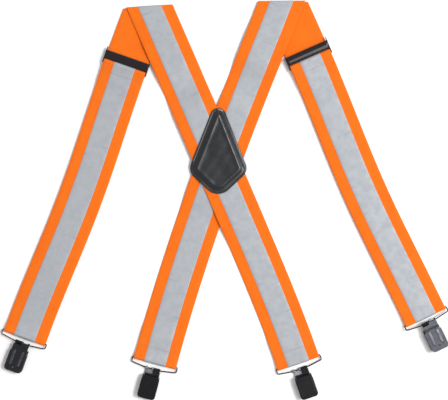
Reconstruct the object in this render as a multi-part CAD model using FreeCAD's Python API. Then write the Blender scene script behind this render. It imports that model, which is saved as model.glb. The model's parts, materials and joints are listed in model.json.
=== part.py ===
"""X-back trouser braces in 50 mm webbing, lying flat with two clips face up and two face down.

Millimetres, +Z up, resting on z = 0. Each strap runs from a back clip, over the crosspatch, to a
shoulder fold; there it turns under itself and runs down through a slide adjuster to a front clip,
round the clip's wire and back up to the adjuster. Local frames: X along the strap away from the
shoulder, Y across it, Z up.
"""
import FreeCAD, Part
import math
import os
from FreeCAD import Placement, Rotation, Vector

# Webbing and tape
WEB_WIDTH = 50.0
WEB_THICK = 1.5
TAPE_WIDTH = 25.0
TAPE_THICK = 0.3
LAYER_GAP = 0.2              # air between two layers that lie on each other

# Wire loop
WIRE_R = 0.7
WIRE_CLEAR = 0.3             # radial play of the wire in the webbing and in the knuckles
LOOP_HALF = 26.4             # wire centreline to the strap's centreline
LOOP_CORNER = 1.4
LOOP_DEPTH = 8.6             # between the strap bar and the clip bar
LOOP_SLANT = (9.6, 6.2)      # the clip bar slants from here beside the neck back to this depth at the sides

# Levels above the surface
WRAP_IN = WIRE_R + WIRE_CLEAR
WRAP_WEB = WRAP_IN + WEB_THICK
WRAP_OUT = WRAP_WEB + TAPE_THICK
WIRE_Z = WRAP_OUT            # the wire's centre where the wrapped webbing rests on the surface
FRONT_Z = TAPE_THICK         # web underside of the front strap, whose tape faces down
UPPER_Z = FRONT_Z + WEB_THICK + LAYER_GAP
TAIL_TOP = FRONT_Z + WEB_THICK + 0.1     # web underside over a turned-under tail
HUMP = 1.3                   # rise of the front strap over the adjuster's flat bar
OVER_HUMP = FRONT_Z + WEB_THICK + HUMP + 0.4

# Plan layout: fold line centres, crossing, strap ends at the loops
CROSSING = (-7.1, 39.8)
FOLDS = {"left": ((-86.7, 221.0), 3.6), "right": ((67.2, 226.8), 0.5)}
BACK_ENDS = {"left": ((85.4, -188.0), 19.0), "right": ((-79.7, -188.0), -15.0)}
FRONT_ENDS = {"left": (-229.0, -159.0), "right": (231.2, -135.6)}
FRONT_END_TURN = {"left": -20.0, "right": 25.6}
ADJUSTER_DROP = {"left": 66.2, "right": 64.6}
ADJUSTER_TURN = {"left": -19.3, "right": 23.8}
FOLD_SPREAD = {"left": 1.7, "right": -1.7}    # back leg inwards and front leg outwards at the fold
FOLD_LENGTH = 54.4

# Crosspatch
PATCH_X = -6.7
PATCH_CIRCLES = ((0.0, 96.1, 9.0), (19.3, 36.5, 13.0), (0.0, 24.0, 17.0), (-19.3, 36.5, 13.0))
LEATHER = 1.4
PANEL_INSET = 6.5
PANEL_RISE = 1.5

# Clip, measured from the wire's centre: +X to the mouth, +Z to the lever
SHEET = 0.8
CLIP_LENGTH = 34.0
CLIP_HALF = 10.3
LEVER_TOP_HALF = 9.8
CLIP_CORNER = 3.8
NECK_HALF = 8.9
JAW_HALF = 8.1
EAR = (8.3, 8.85)            # inner and outer face of the pin ears
BASE_Z = -2.1                # outer face of the base plate
RIB = 0.7
JAW_Z = 1.6                  # underside of the jaw plate
PIN_S = 8.8
PIN_Z = 4.65
PIN_R = 0.7
PIN_CLEAR = 0.05
COVER_Z = 6.2
BORDER = 0.2
CLIP_TOP = COVER_Z + SHEET + BORDER

# Slide adjuster, measured from the middle of the strap's way through it
EAR_IN = 25.4
EAR_OUT = 26.2
NUB = 8.6                    # how far the outer ear's thumb nub reaches towards the shoulder
BACK_BAR = (-3.5, 3.5, 1.0)
GRIP_PIN = (-3.6, 5.3)
GRIP_TOP = 7.2
RETURN_BAR = (8.0, 5.2)


def slab(profile, half_width, middle=0.0):
    """Extrude an (along, up) outline across the strap."""
    points = [Vector(s, middle - half_width, z) for s, z in profile]
    face = Part.Face(Part.makePolygon(points + points[:1]))
    return face.extrude(Vector(0, 2 * half_width, 0))


def layer(underside, thick, half_width):
    """A layer of webbing or tape from the (along, up) points of its underside."""
    top = [(s, z + thick) for s, z in reversed(underside)]
    return slab(list(underside) + top, half_width)


def rod(s, z, radius, half_length, middle=0.0):
    """A round bar across the strap."""
    start = Vector(s, middle - half_length, z)
    return Part.makeCylinder(radius, 2 * half_length, start, Vector(0, 1, 0))


def ring(s, z, inner, outer, half_length, middle=0.0):
    """A round sleeve across the strap."""
    return rod(s, z, outer, half_length, middle).cut(rod(s, z, inner, half_length + 1, middle))


def block(s0, s1, y0, y1, z0, z1):
    """A box between two values on each local axis."""
    return Part.makeBox(s1 - s0, y1 - y0, z1 - z0, Vector(s0, y0, z0))


def turn(s, z, inner, outer, half_length, side=1):
    """Half a sleeve: the bend where a layer goes round a bar. side is +1 or -1 along X."""
    span = (s, s + outer + 1) if side > 0 else (s - outer - 1, s)
    cutter = block(span[0], span[1], -half_length - 1, half_length + 1, z - outer - 1, z + outer + 1)
    return ring(s, z, inner, outer, half_length).common(cutter)


def joined(*shapes):
    """One clean solid from touching pieces."""
    return shapes[0].multiFuse(list(shapes[1:])).removeSplitter()


def at(xy, z, degrees):
    """A placement whose local X points to the given angle in plan."""
    return Placement(Vector(xy[0], xy[1], z), Rotation(Vector(0, 0, 1), degrees))


def placed(shape, placement):
    """A copy of the shape in the row frame."""
    copy = shape.copy()
    copy.Placement = placement.multiply(copy.Placement)
    return copy


def heading(start, end):
    """The plan angle and the distance from one point to another."""
    dx = end[0] - start[0]
    dy = end[1] - start[1]
    return math.degrees(math.atan2(dy, dx)), math.hypot(dx, dy)


def outline(circles, inset, z):
    """The taut outline round a ring of circles, given clockwise, as a face."""
    edges = []
    shrunk = [(x, y, r - inset) for x, y, r in circles]
    tangents = []
    for index, first in enumerate(shrunk):
        second = shrunk[(index + 1) % len(shrunk)]
        along, distance = heading(first, second)
        normal = math.radians(along) + math.acos((first[2] - second[2]) / distance)
        direction = (math.cos(normal), math.sin(normal))
        ends = [Vector(c[0] + c[2] * direction[0], c[1] + c[2] * direction[1], z) for c in (first, second)]
        tangents.append((ends, normal))
    for index, (ends, normal) in enumerate(tangents):
        edges.append(Part.LineSegment(ends[0], ends[1]).toShape())
        following, next_normal = tangents[(index + 1) % len(tangents)]
        circle = shrunk[(index + 1) % len(shrunk)]
        while next_normal > normal:
            next_normal -= 2 * math.pi
        middle = (normal + next_normal) / 2
        via = Vector(circle[0] + circle[2] * math.cos(middle), circle[1] + circle[2] * math.sin(middle), z)
        edges.append(Part.Arc(ends[1], via, following[0]).toShape())
    return Part.Face(Part.Wire(edges))


def rounded_plate(s0, s1, half, radius, z0, z1):
    """A plate whose two far corners, at s1, are rounded in plan."""
    plate = block(s0, s1, -half, half, z0, z1)
    corners = [e for e in plate.Edges if e.BoundBox.XMin > s1 - 0.01 and e.BoundBox.ZLength > 0.5 * (z1 - z0)]
    return plate.makeFillet(radius, corners)


def softened(shape, radius, z):
    """Round the edges of a shape's flat top or bottom face at height z."""
    edges = [e for e in shape.Edges if abs(e.BoundBox.ZMin - z) < 0.01 and abs(e.BoundBox.ZMax - z) < 0.01]
    return shape.makeFillet(radius, edges)


def teeth(s0, s1, pitch, root, tip, back, half_width):
    """A toothed grip pad: flat at z = back, ridges across it from z = root to z = tip."""
    points = [(s0, back), (s0, root)]
    count = int((s1 - s0) / pitch)
    for index in range(count):
        points.append((s0 + (index + 0.5) * pitch, tip))
        points.append((s0 + (index + 1.0) * pitch, root))
    points.append((s0 + count * pitch, back))
    return slab(points, half_width)


# ---------------------------------------------------------------- wire loop and clip

def wire_path():
    """The loop's cornered centreline in plan, as (along, across) points in order."""
    neck, side_depth = LOOP_SLANT
    right = [(0, LOOP_HALF), (side_depth, LOOP_HALF), (LOOP_DEPTH, neck)]
    return right + [(s, -y) for s, y in reversed(right)]


def wire_loop():
    """A closed loop: strap bar at X = 0, clip bar at X = LOOP_DEPTH across the neck, slanted beside it."""
    corners = [Vector(s, y, 0) for s, y in wire_path()]
    count = len(corners)
    bends = []
    for index, corner in enumerate(corners):
        before = (corners[index - 1] - corner).normalize()
        after = (corners[(index + 1) % count] - corner).normalize()
        half = before.getAngle(after) / 2
        cut = LOOP_CORNER / math.tan(half)
        centre = corner + (before + after).normalize() * (LOOP_CORNER / math.sin(half))
        bends.append((corner + before * cut, corner + after * cut, centre, math.pi - 2 * half))
    pieces = []
    for index, (start, end, centre, sweep) in enumerate(bends):
        spoke = start - centre
        axis = spoke.cross(end - centre)
        section = Part.Face(Part.Wire(Part.makeCircle(WIRE_R, start, Vector(spoke.y, -spoke.x, 0))))
        pieces.append(section.revolve(centre, axis, math.degrees(sweep)))
        following = bends[(index + 1) % count][0]
        pieces.append(Part.makeCylinder(WIRE_R, (following - end).Length, end, following - end))
    return joined(*pieces)


def clip_base():
    """Base plate with pressed ribs, pin ears and the knuckles on its side of the neck."""
    centre = [(-0.2, -1.8), (6.0, -1.8), (9.0, BASE_Z), (CLIP_LENGTH, BASE_Z)]
    plate = layer(centre, SHEET, CLIP_HALF)
    neck = block(-2, 14, -NECK_HALF, NECK_HALF, -5, 5)
    wide = rounded_plate(10.5, CLIP_LENGTH, CLIP_HALF, CLIP_CORNER, -5, 5)
    shoulders = [e for e in wide.Edges if e.BoundBox.XMax < 10.6 and e.BoundBox.ZLength > 5]
    wide = wide.makeFillet(1.2, shoulders)
    body = plate.common(neck.fuse(wide)).removeSplitter()
    pieces = [body]
    for rib_y in (-4.8, 4.8):
        rib = block(9.4, 27.0, rib_y - 1.6, rib_y + 1.6, BASE_Z - RIB, BASE_Z + 0.2)
        rib = rib.makeFillet(1.5, [e for e in rib.Edges if e.BoundBox.ZLength > 0.5])
        pieces.append(softened(rib, 0.6, BASE_Z - RIB))
    for y0, y1 in ((-NECK_HALF, -6.6), (-1.5, 0.0)):
        pieces.append(ring(0, 0, WRAP_IN, 1.8, (y1 - y0) / 2, (y0 + y1) / 2))
    for side in (-1, 1):
        flag = [(7.3, BASE_Z + 0.6), (13.8, BASE_Z + 0.4), (PIN_S + 1.25, PIN_Z), (PIN_S - 1.25, PIN_Z)]
        middle, half = side * (EAR[0] + EAR[1]) / 2, (EAR[1] - EAR[0]) / 2
        pieces.append(slab(flag, half, middle).fuse(rod(PIN_S, PIN_Z, 1.25, half, middle)))
    base = joined(*pieces)
    base = base.cut(block(-3, 2.4, 0.0, NECK_HALF + 1, -3, 3))
    base = base.cut(rod(0, 0, WRAP_IN, NECK_HALF + 1))
    base = base.cut(rod(PIN_S, PIN_Z, PIN_R + PIN_CLEAR, CLIP_HALF + 1))
    dimple = Part.makeSphere(2.4, Vector(28.5, 0, BASE_Z - 2.1))
    return base.cut(dimple)


def clip_jaw():
    """Inner jaw: its own knuckle on the wire, a folded neck and a flat tongue down to the mouth."""
    tongue = layer([(0.4, 1.0), (1.5, 1.0), (6.0, JAW_Z), (CLIP_LENGTH - 0.6, JAW_Z)], SHEET, JAW_HALF)
    tongue = tongue.common(rounded_plate(-1, CLIP_LENGTH - 0.6, JAW_HALF, 2.4, -1, 4))
    tongue = tongue.cut(block(-1, 6.2, -JAW_HALF - 1, 0.3, -1, 4))
    knuckle = ring(0, 0, WRAP_IN, 1.8, (JAW_HALF - 0.3) / 2, (JAW_HALF + 0.3) / 2)
    jaw = joined(tongue, knuckle)
    jaw = jaw.cut(rod(0, 0, WRAP_IN, NECK_HALF + 1))
    return jaw


def clip_lever():
    """Lever cover with a raised border, side lips, a front lip and the cam nose round the pin."""
    top = COVER_Z + SHEET
    head, shoulder = PIN_S - 0.5, PIN_S + 3.6
    cover = rounded_plate(shoulder, CLIP_LENGTH, CLIP_HALF, CLIP_CORNER, COVER_Z - 2.8, top)
    cover = joined(cover, block(head, shoulder, -LEVER_TOP_HALF, LEVER_TOP_HALF, COVER_Z - 2.8, top))
    cover = softened(cover, 0.6, top)
    inner = CLIP_HALF - SHEET
    hollow = rounded_plate(shoulder + SHEET, CLIP_LENGTH - SHEET, inner, CLIP_CORNER - SHEET, COVER_Z - 4, COVER_Z)
    hollow = hollow.fuse(block(PIN_S - 3, shoulder + 2, SHEET - LEVER_TOP_HALF, LEVER_TOP_HALF - SHEET,
                               COVER_Z - 4, COVER_Z))
    shell = cover.cut(hollow)
    border = rounded_plate(PIN_S + 3.0, CLIP_LENGTH - 2.2, CLIP_HALF - 2.2, CLIP_CORNER - 1.2, top - 0.2, top + BORDER)
    border = softened(border, 0.15, top + BORDER)
    inside = rounded_plate(PIN_S + 4.0, CLIP_LENGTH - 3.2, CLIP_HALF - 3.2, CLIP_CORNER - 2, top - 1, top + 1)
    pieces = [shell, border.cut(inside)]
    for side in (-1, 1):
        y = side * (LEVER_TOP_HALF - SHEET / 2)
        pieces.append(rod(PIN_S, PIN_Z, 1.5, SHEET / 2, y))
        pieces.append(block(head, PIN_S + 1.5, y - SHEET / 2, y + SHEET / 2, PIN_Z, COVER_Z + 0.1))
    nose = [(PIN_S, PIN_Z - 1.95), (PIN_S + 0.8, PIN_Z - 1.95), (PIN_S + 1.2, PIN_Z), (PIN_S - 1.15, PIN_Z - 0.3)]
    pieces.append(slab(nose, JAW_HALF))
    pieces.append(rod(PIN_S, PIN_Z, 1.2, JAW_HALF))
    pieces.append(block(head, PIN_S + 1.2, -JAW_HALF, JAW_HALF, PIN_Z, COVER_Z + 0.1))
    lever = joined(*pieces)
    return lever.cut(rod(PIN_S, PIN_Z, PIN_R + PIN_CLEAR, CLIP_HALF + 1))


def clip_pin():
    """Lever pin, riveted flush with the lever's cheeks."""
    return rod(PIN_S, PIN_Z, PIN_R, LEVER_TOP_HALF + 0.1)


def clip_parts():
    """Every piece of one clip, in the clip's own frame."""
    grip_end = CLIP_LENGTH - 0.9
    return {
        "base_plate": clip_base(),
        "jaw_plate": clip_jaw(),
        "lever": clip_lever(),
        "lever_pin": clip_pin(),
        "lower_grip": teeth(26.0, grip_end, 1.2, -0.9, -0.3, BASE_Z + SHEET, 7.0),
        "upper_grip": teeth(26.0, grip_end, 1.2, 0.7, 0.1, JAW_Z, 7.0),
    }


# ---------------------------------------------------------------- slide adjuster

def adjuster_frame(outer):
    """Two ears joined by a flat bar under the strap and a round bar for the return end.

    outer is the side, +1 or -1 across the strap, whose ear has the thumb nub.
    """
    s0, s1, bar_top = BACK_BAR
    side_view = [(-5.2, 0.0), (8.5, 0.0), (10.4, 3.0), (10.4, 5.6), (9.0, 6.6), (-3.4, 6.6), (-4.8, 5.9), (-5.2, 2.4)]
    middle = (EAR_IN + EAR_OUT) / 2
    half = (EAR_OUT - EAR_IN) / 2
    pieces = [slab(side_view, half, side * middle) for side in (-1, 1)]
    nub = [(-4.0, 4.4), (-4.0, 6.6), (-NUB + 0.6, 6.6), (-NUB, 6.0), (-NUB, 4.9), (-NUB + 0.6, 4.4)]
    pieces.append(slab(nub, half, outer * middle))
    pieces.append(block(s0, s1, -EAR_IN - 0.1, EAR_IN + 0.1, 0.0, bar_top))
    pieces.append(rod(RETURN_BAR[0], RETURN_BAR[1], WIRE_R, EAR_IN + 0.1))
    frame = joined(*pieces)
    return frame.cut(rod(GRIP_PIN[0], GRIP_PIN[1], PIN_R + PIN_CLEAR, EAR_OUT + 1))


def adjuster_grip():
    """Hinged grip plate: a slightly crowned bar on top, a cam nose with a toothed edge below."""
    pin_s, pin_z = GRIP_PIN
    half = EAR_IN - 0.15
    crown = [(-4.8, 6.5), (-4.8, 6.9), (-3.9, GRIP_TOP), (2.6, GRIP_TOP), (4.1, 6.9), (4.7, 6.2), (4.7, 5.6)]
    under = [(3.9, 5.6), (3.6, 6.1), (2.4, 6.3), (-2.4, 6.3), (-2.4, 5.2)]
    nose = [(-2.8, 3.45), (pin_s, 3.45), (pin_s - 1.1, 5.0), (pin_s - 1.1, 6.2)]
    plate = slab(crown + under + nose, half)
    plate = joined(plate, rod(pin_s, pin_z, 1.2, half))
    notches = [block(-4.0, -2.7, y, y + 1.0, 3.0, 3.85) for y in range(-24, 24, 2)]
    plate = plate.cut(Part.makeCompound(notches))
    return plate.cut(rod(pin_s, pin_z, PIN_R + PIN_CLEAR, half + 1))


def adjuster_pin():
    """Grip plate pin, headed outside each ear."""
    heads = [rod(GRIP_PIN[0], GRIP_PIN[1], 1.1, 0.1, side * (EAR_OUT + 0.15)) for side in (-1, 1)]
    return joined(rod(GRIP_PIN[0], GRIP_PIN[1], PIN_R, EAR_OUT + 0.1), *heads)


# ---------------------------------------------------------------- straps

def back_strap(side, width, thick, lift, over):
    """A back strap's web or tape: fold, two straight legs across the patch, and the folded end.

    lift raises the layer above the webbing's underside; over is the level at the crossing.
    """
    fold, fold_turn = FOLDS[side]
    end, end_turn = BACK_ENDS[side]
    half = width / 2
    upper_angle, upper_length = heading((fold[0] + FOLD_SPREAD[side], fold[1]), CROSSING)
    lower_angle, lower_length = heading(CROSSING, end)
    ramp = 24.0 if side == "left" else 16.0
    reach_up = 72.0
    reach_down = 66.0 if side == "left" else 44.0
    start = -upper_length
    upper = [(start - 30, UPPER_Z), (start + 28, UPPER_Z), (start + 44, OVER_HUMP), (start + 76, OVER_HUMP),
             (start + 96, 0), (-reach_up - ramp, 0), (-reach_up, over), (1.0, over)]
    upper = [(s, z + lift) for s, z in upper]
    lower = [(-1.0, over), (reach_down, over), (reach_down + ramp, 0), (lower_length - 46, 0),
             (lower_length - 33, TAIL_TOP), (lower_length - 26, TAIL_TOP)]
    lower = [(s, z + lift) for s, z in lower]
    upper_leg = placed(layer(upper, thick, half), at(CROSSING, 0, upper_angle))
    lower_leg = placed(layer(lower, thick, half), at(CROSSING, 0, lower_angle))
    beyond = placed(block(-60, 60, 0, 60, -5, 20), at(fold, 0, fold_turn))
    upper_leg = upper_leg.cut(beyond)
    inner = LAYER_GAP / 2 + lift
    fold_half = half / WEB_WIDTH * FOLD_LENGTH
    middle_z = FRONT_Z + WEB_THICK + LAYER_GAP / 2
    bend = placed(turn(0, middle_z, inner, inner + thick, fold_half), at(fold, 0, fold_turn + 90))
    wire = loop_place(end, end_turn, WRAP_OUT)
    inner = WRAP_IN + lift
    tail_z = WIRE_Z - inner - thick
    over_wire = [(0, WIRE_Z + WRAP_IN), (-9, TAIL_TOP), (-26, TAIL_TOP)]
    over_wire = [(s, z + lift) for s, z in over_wire]
    folded = [layer(list(reversed(over_wire)), thick, half), turn(0, WIRE_Z, inner, inner + thick, half)]
    folded.append(layer([(-22, tail_z), (0, tail_z)], thick, half))
    return joined(upper_leg, lower_leg, bend, *[placed(piece, wire) for piece in folded])


def loop_place(end, end_turn, set_back):
    """The strap end's frame: at the wire's axis, on the surface, X away from the strap."""
    angle = end_turn - 90
    x = end[0] - set_back * math.cos(math.radians(angle))
    y = end[1] - set_back * math.sin(math.radians(angle))
    return at((x, y), 0, angle)


def front_places(side):
    """Leg frame at the fold, its length, the adjuster's frame and the strap end's frame."""
    fold_x, fold_y = FOLDS[side][0]
    start = (fold_x - FOLD_SPREAD[side], fold_y)
    angle, length = heading(start, FRONT_ENDS[side])
    leg = at(start, 0, angle)
    middle = leg.multVec(Vector(ADJUSTER_DROP[side], 0, 0))
    adjuster = at((middle.x, middle.y), 0, ADJUSTER_TURN[side] - 90)
    return leg, length, adjuster, loop_place(FRONT_ENDS[side], FRONT_END_TURN[side], WRAP_OUT)


def front_strap(side, width, thick, underside):
    """The layer that runs from the fold, over the adjuster's flat bar, down to the loop's wrap."""
    leg, length, _, _ = front_places(side)
    drop = ADJUSTER_DROP[side]
    points = [(-30, 0), (drop - 13, 0), (drop - 4.4, HUMP), (drop + 4.4, HUMP), (drop + 9.0, 0), (length - 25.8, 0)]
    strip = placed(layer([(s, z + underside) for s, z in points], thick, width / 2), leg)
    fold, fold_turn = FOLDS[side]
    return strip.cut(placed(block(-60, 60, 0, 60, -5, 20), at(fold, 0, fold_turn)))


def return_strap(side, width, thick, lift):
    """The layer from round the wire back up to the adjuster's round bar, with its tail."""
    leg, length, adjuster, end = front_places(side)
    half = width / 2
    low = UPPER_Z + 0.1
    inner = WRAP_IN + lift
    drop = ADJUSTER_DROP[side]
    wrap_top = [(-22, low + lift), (-12, low + lift), (0, WIRE_Z + WRAP_IN + lift)]
    under = WIRE_Z - inner - thick
    wrap = [layer([(-21.6, under), (0, under)], thick, half), turn(0, WIRE_Z, inner, inner + thick, half)]
    wrap.append(layer(wrap_top, thick, half))
    run = layer([(drop + 42, low + lift), (length - 18, low + lift)], thick, half)
    bar_s, bar_z = RETURN_BAR
    tail_web = 2.4
    tail = tail_web - thick if lift else tail_web
    tail_end = bar_z - inner - thick
    top = [(bar_s, bar_z + WRAP_IN), (18, 4.0), (26, 4.0), (40, low), (46, low)]
    loop = [turn(bar_s, bar_z, inner, inner + thick, half, -1)]
    loop.append(layer([(s, z + lift) for s, z in top], thick, half))
    loop.append(layer([(bar_s, tail_end), (12.5, tail), (24, tail)], thick, half))
    pieces = [placed(piece, end) for piece in wrap] + [placed(run, leg)]
    return joined(*(pieces + [placed(piece, adjuster) for piece in loop]))


def tack(place, s, web_top, pitch=3.6, stitch=2.6):
    """A row of stitches across a strap, lying on the tape in the middle and on the web outside."""
    count = int((WEB_WIDTH - 4) / pitch)
    rows = []
    for index in range(count):
        y = (index - (count - 1) / 2) * pitch
        on_tape = abs(y) + stitch / 2 < TAPE_WIDTH / 2
        over_edge = not on_tape and abs(y) - stitch / 2 < TAPE_WIDTH / 2
        if over_edge:
            continue
        z = web_top + (TAPE_THICK if on_tape else 0)
        rows.append(placed(block(s - 0.3, s + 0.3, y - stitch / 2, y + stitch / 2, z, z + 0.3), place))
    return Part.makeCompound(rows)


# ---------------------------------------------------------------- crosspatch

def crosspatch(levels):
    """Front leather with its raised panel, the padding under it, the back leather, the stitches."""
    back_z, front_z = levels
    circles = [(PATCH_X + x, y, r) for x, y, r in PATCH_CIRCLES]
    sheet = Vector(0, 0, LEATHER)
    back = outline(circles, 0, back_z).extrude(sheet)
    rim = outline(circles, 0, front_z).extrude(sheet)
    rim = softened(rim, 0.5, front_z + LEATHER)
    panel = outline(circles, PANEL_INSET, front_z).extrude(Vector(0, 0, LEATHER + PANEL_RISE))
    panel = softened(panel, 0.9, front_z + LEATHER + PANEL_RISE)
    pocket = outline(circles, PANEL_INSET + 1.3, front_z - 1).extrude(Vector(0, 0, 1 + PANEL_RISE))
    front = joined(rim, panel).cut(pocket)
    padding = outline(circles, PANEL_INSET + 1.4, front_z).extrude(Vector(0, 0, PANEL_RISE - 0.05))
    seam = outline(circles, 2.6, front_z + LEATHER).OuterWire
    count = 62
    stitches = []
    for point, ahead in zip(seam.discretize(Number=2 * count)[::2], seam.discretize(Number=2 * count)[1::2]):
        angle, length = heading((point.x, point.y), (ahead.x, ahead.y))
        stitch = block(0, length, -0.3, 0.3, 0, 0.3)
        stitches.append(placed(stitch, at((point.x, point.y), front_z + LEATHER, angle)))
    return {
        "crosspatch_back_leather": back,
        "crosspatch_front_leather": front,
        "crosspatch_padding": padding,
        "crosspatch_stitching": Part.makeCompound(stitches),
    }


# ---------------------------------------------------------------- the whole

def build_parts():
    """Every node of the braces by name, in the row frame."""
    parts = {}
    joint_places = {}
    web = WEB_THICK
    tape = TAPE_THICK
    over_right = LEATHER + 0.1
    over_left = over_right + web + tape + 0.1
    for side, over in (("left", over_left), ("right", over_right)):
        parts[side + "_back_strap"] = back_strap(side, WEB_WIDTH, web, 0, over)
        parts[side + "_back_tape"] = back_strap(side, TAPE_WIDTH, tape, web, over)
        parts[side + "_front_strap"] = front_strap(side, WEB_WIDTH, web, FRONT_Z)
        parts[side + "_front_tape"] = front_strap(side, TAPE_WIDTH, tape, 0)
        parts[side + "_return_strap"] = return_strap(side, WEB_WIDTH, web, 0)
        parts[side + "_return_tape"] = return_strap(side, TAPE_WIDTH, tape, web)
        leg, length, adjuster, end = front_places(side)
        outer = -1 if side == "left" else 1
        parts[side + "_adjuster_frame"] = placed(adjuster_frame(outer), adjuster)
        parts[side + "_adjuster_grip"] = placed(adjuster_grip(), adjuster)
        parts[side + "_adjuster_pin"] = placed(adjuster_pin(), adjuster)
        parts[side + "_return_tack"] = tack(adjuster, 19.0, 4.0 + web + 0.1)
        back_end, back_turn = BACK_ENDS[side]
        back_place = loop_place(back_end, back_turn, WRAP_OUT)
        parts[side + "_back_tack"] = tack(back_place, -15.0, TAIL_TOP + web)
        joint_places[side + "_leg"] = leg
        joint_places[side + "_adjuster"] = adjuster
        joint_places[side + "_front"] = end
        joint_places[side + "_back"] = back_place
    parts.update(crosspatch((0.0, over_left + web + tape + 0.1)))
    loop = wire_loop()
    clip = clip_parts()
    tilt = math.degrees(math.asin((CLIP_TOP - WIRE_Z) / LOOP_DEPTH))
    for side in ("left", "right"):
        for end in ("front", "back"):
            place = joint_places[side + "_" + end]
            rise = tilt if end == "front" else 0.0
            loop_frame = place.multiply(Placement(Vector(0, 0, WIRE_Z), Rotation(Vector(0, 1, 0), -rise)))
            bar = loop_frame.multVec(Vector(LOOP_DEPTH, 0, 0))
            clip_frame = Placement(bar, place.Rotation)
            if end == "front":
                clip_frame = clip_frame.multiply(Placement(Vector(), Rotation(Vector(1, 0, 0), 180)))
            name = side + "_" + end
            parts[name + "_wire_loop"] = placed(loop, loop_frame)
            for piece, shape in clip.items():
                parts[name + "_" + piece] = placed(shape, clip_frame)
            joint_places[name + "_loop"] = loop_frame
            joint_places[name + "_clip"] = clip_frame
    box = Part.makeCompound(list(parts.values())).BoundBox
    centring = Vector(-(box.XMin + box.XMax) / 2, -(box.YMin + box.YMax) / 2, -box.ZMin)
    for shape in parts.values():
        shape.translate(centring)
    for name, place in joint_places.items():
        joint_places[name] = Placement(place.Base + centring, place.Rotation)
    return parts, joint_places


if __name__ == "__main__":
    os.makedirs("parts", exist_ok=True)
    for node, solid in build_parts()[0].items():
        solid.exportStep(os.path.join("parts", node + ".step"))
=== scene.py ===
"""X-back trouser braces laid flat: webbing straps with reflective strip, leather crosspatch, clips."""

import json
import logging
import math
from dataclasses import dataclass, field
from enum import Enum

import bmesh
import bpy
import numpy as np
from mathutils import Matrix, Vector


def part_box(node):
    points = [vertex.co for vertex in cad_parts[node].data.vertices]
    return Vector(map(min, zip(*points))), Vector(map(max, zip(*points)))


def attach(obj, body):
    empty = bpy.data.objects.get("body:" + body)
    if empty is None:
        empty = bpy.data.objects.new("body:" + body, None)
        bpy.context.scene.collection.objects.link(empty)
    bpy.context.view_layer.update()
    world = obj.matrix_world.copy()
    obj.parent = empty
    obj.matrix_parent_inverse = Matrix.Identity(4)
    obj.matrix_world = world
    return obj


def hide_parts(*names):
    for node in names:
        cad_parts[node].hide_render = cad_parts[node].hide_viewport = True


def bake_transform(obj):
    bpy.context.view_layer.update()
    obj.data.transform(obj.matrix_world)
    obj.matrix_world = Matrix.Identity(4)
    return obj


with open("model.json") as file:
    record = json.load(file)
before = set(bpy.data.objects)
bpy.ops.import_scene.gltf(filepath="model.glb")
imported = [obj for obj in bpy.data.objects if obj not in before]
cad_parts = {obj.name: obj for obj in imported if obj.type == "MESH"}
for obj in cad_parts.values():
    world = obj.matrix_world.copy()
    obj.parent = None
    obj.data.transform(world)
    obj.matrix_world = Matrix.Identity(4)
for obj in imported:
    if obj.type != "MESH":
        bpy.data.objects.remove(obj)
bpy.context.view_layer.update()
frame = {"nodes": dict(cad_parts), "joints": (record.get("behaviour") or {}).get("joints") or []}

MM = 0.001
Pair = tuple[float, float]
Colour = tuple[float, float, float, float]
Ring = tuple[np.ndarray, np.ndarray]
log = logging.getLogger("braces")


class Side(Enum):
    """The wearer's side that a strap is named for."""

    LEFT = "left"
    RIGHT = "right"


class End(Enum):
    """Which end of a strap a clip hangs from."""

    FRONT = "front"
    BACK = "back"


def tint(red: float, green: float, blue: float) -> Colour:
    """A paint colour from its 0 to 255 screen values, as linear light."""
    linear = [((v / 255 + 0.055) / 1.055) ** 2.4 if v > 10 else v / 3294.6 for v in (red, green, blue)]
    return (linear[0], linear[1], linear[2], 1.0)


def joint(name: str) -> dict:
    """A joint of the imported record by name."""
    return next(j for j in frame["joints"] if j["name"] == name)


# ------------------------------------------------------------------ node trees


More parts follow.
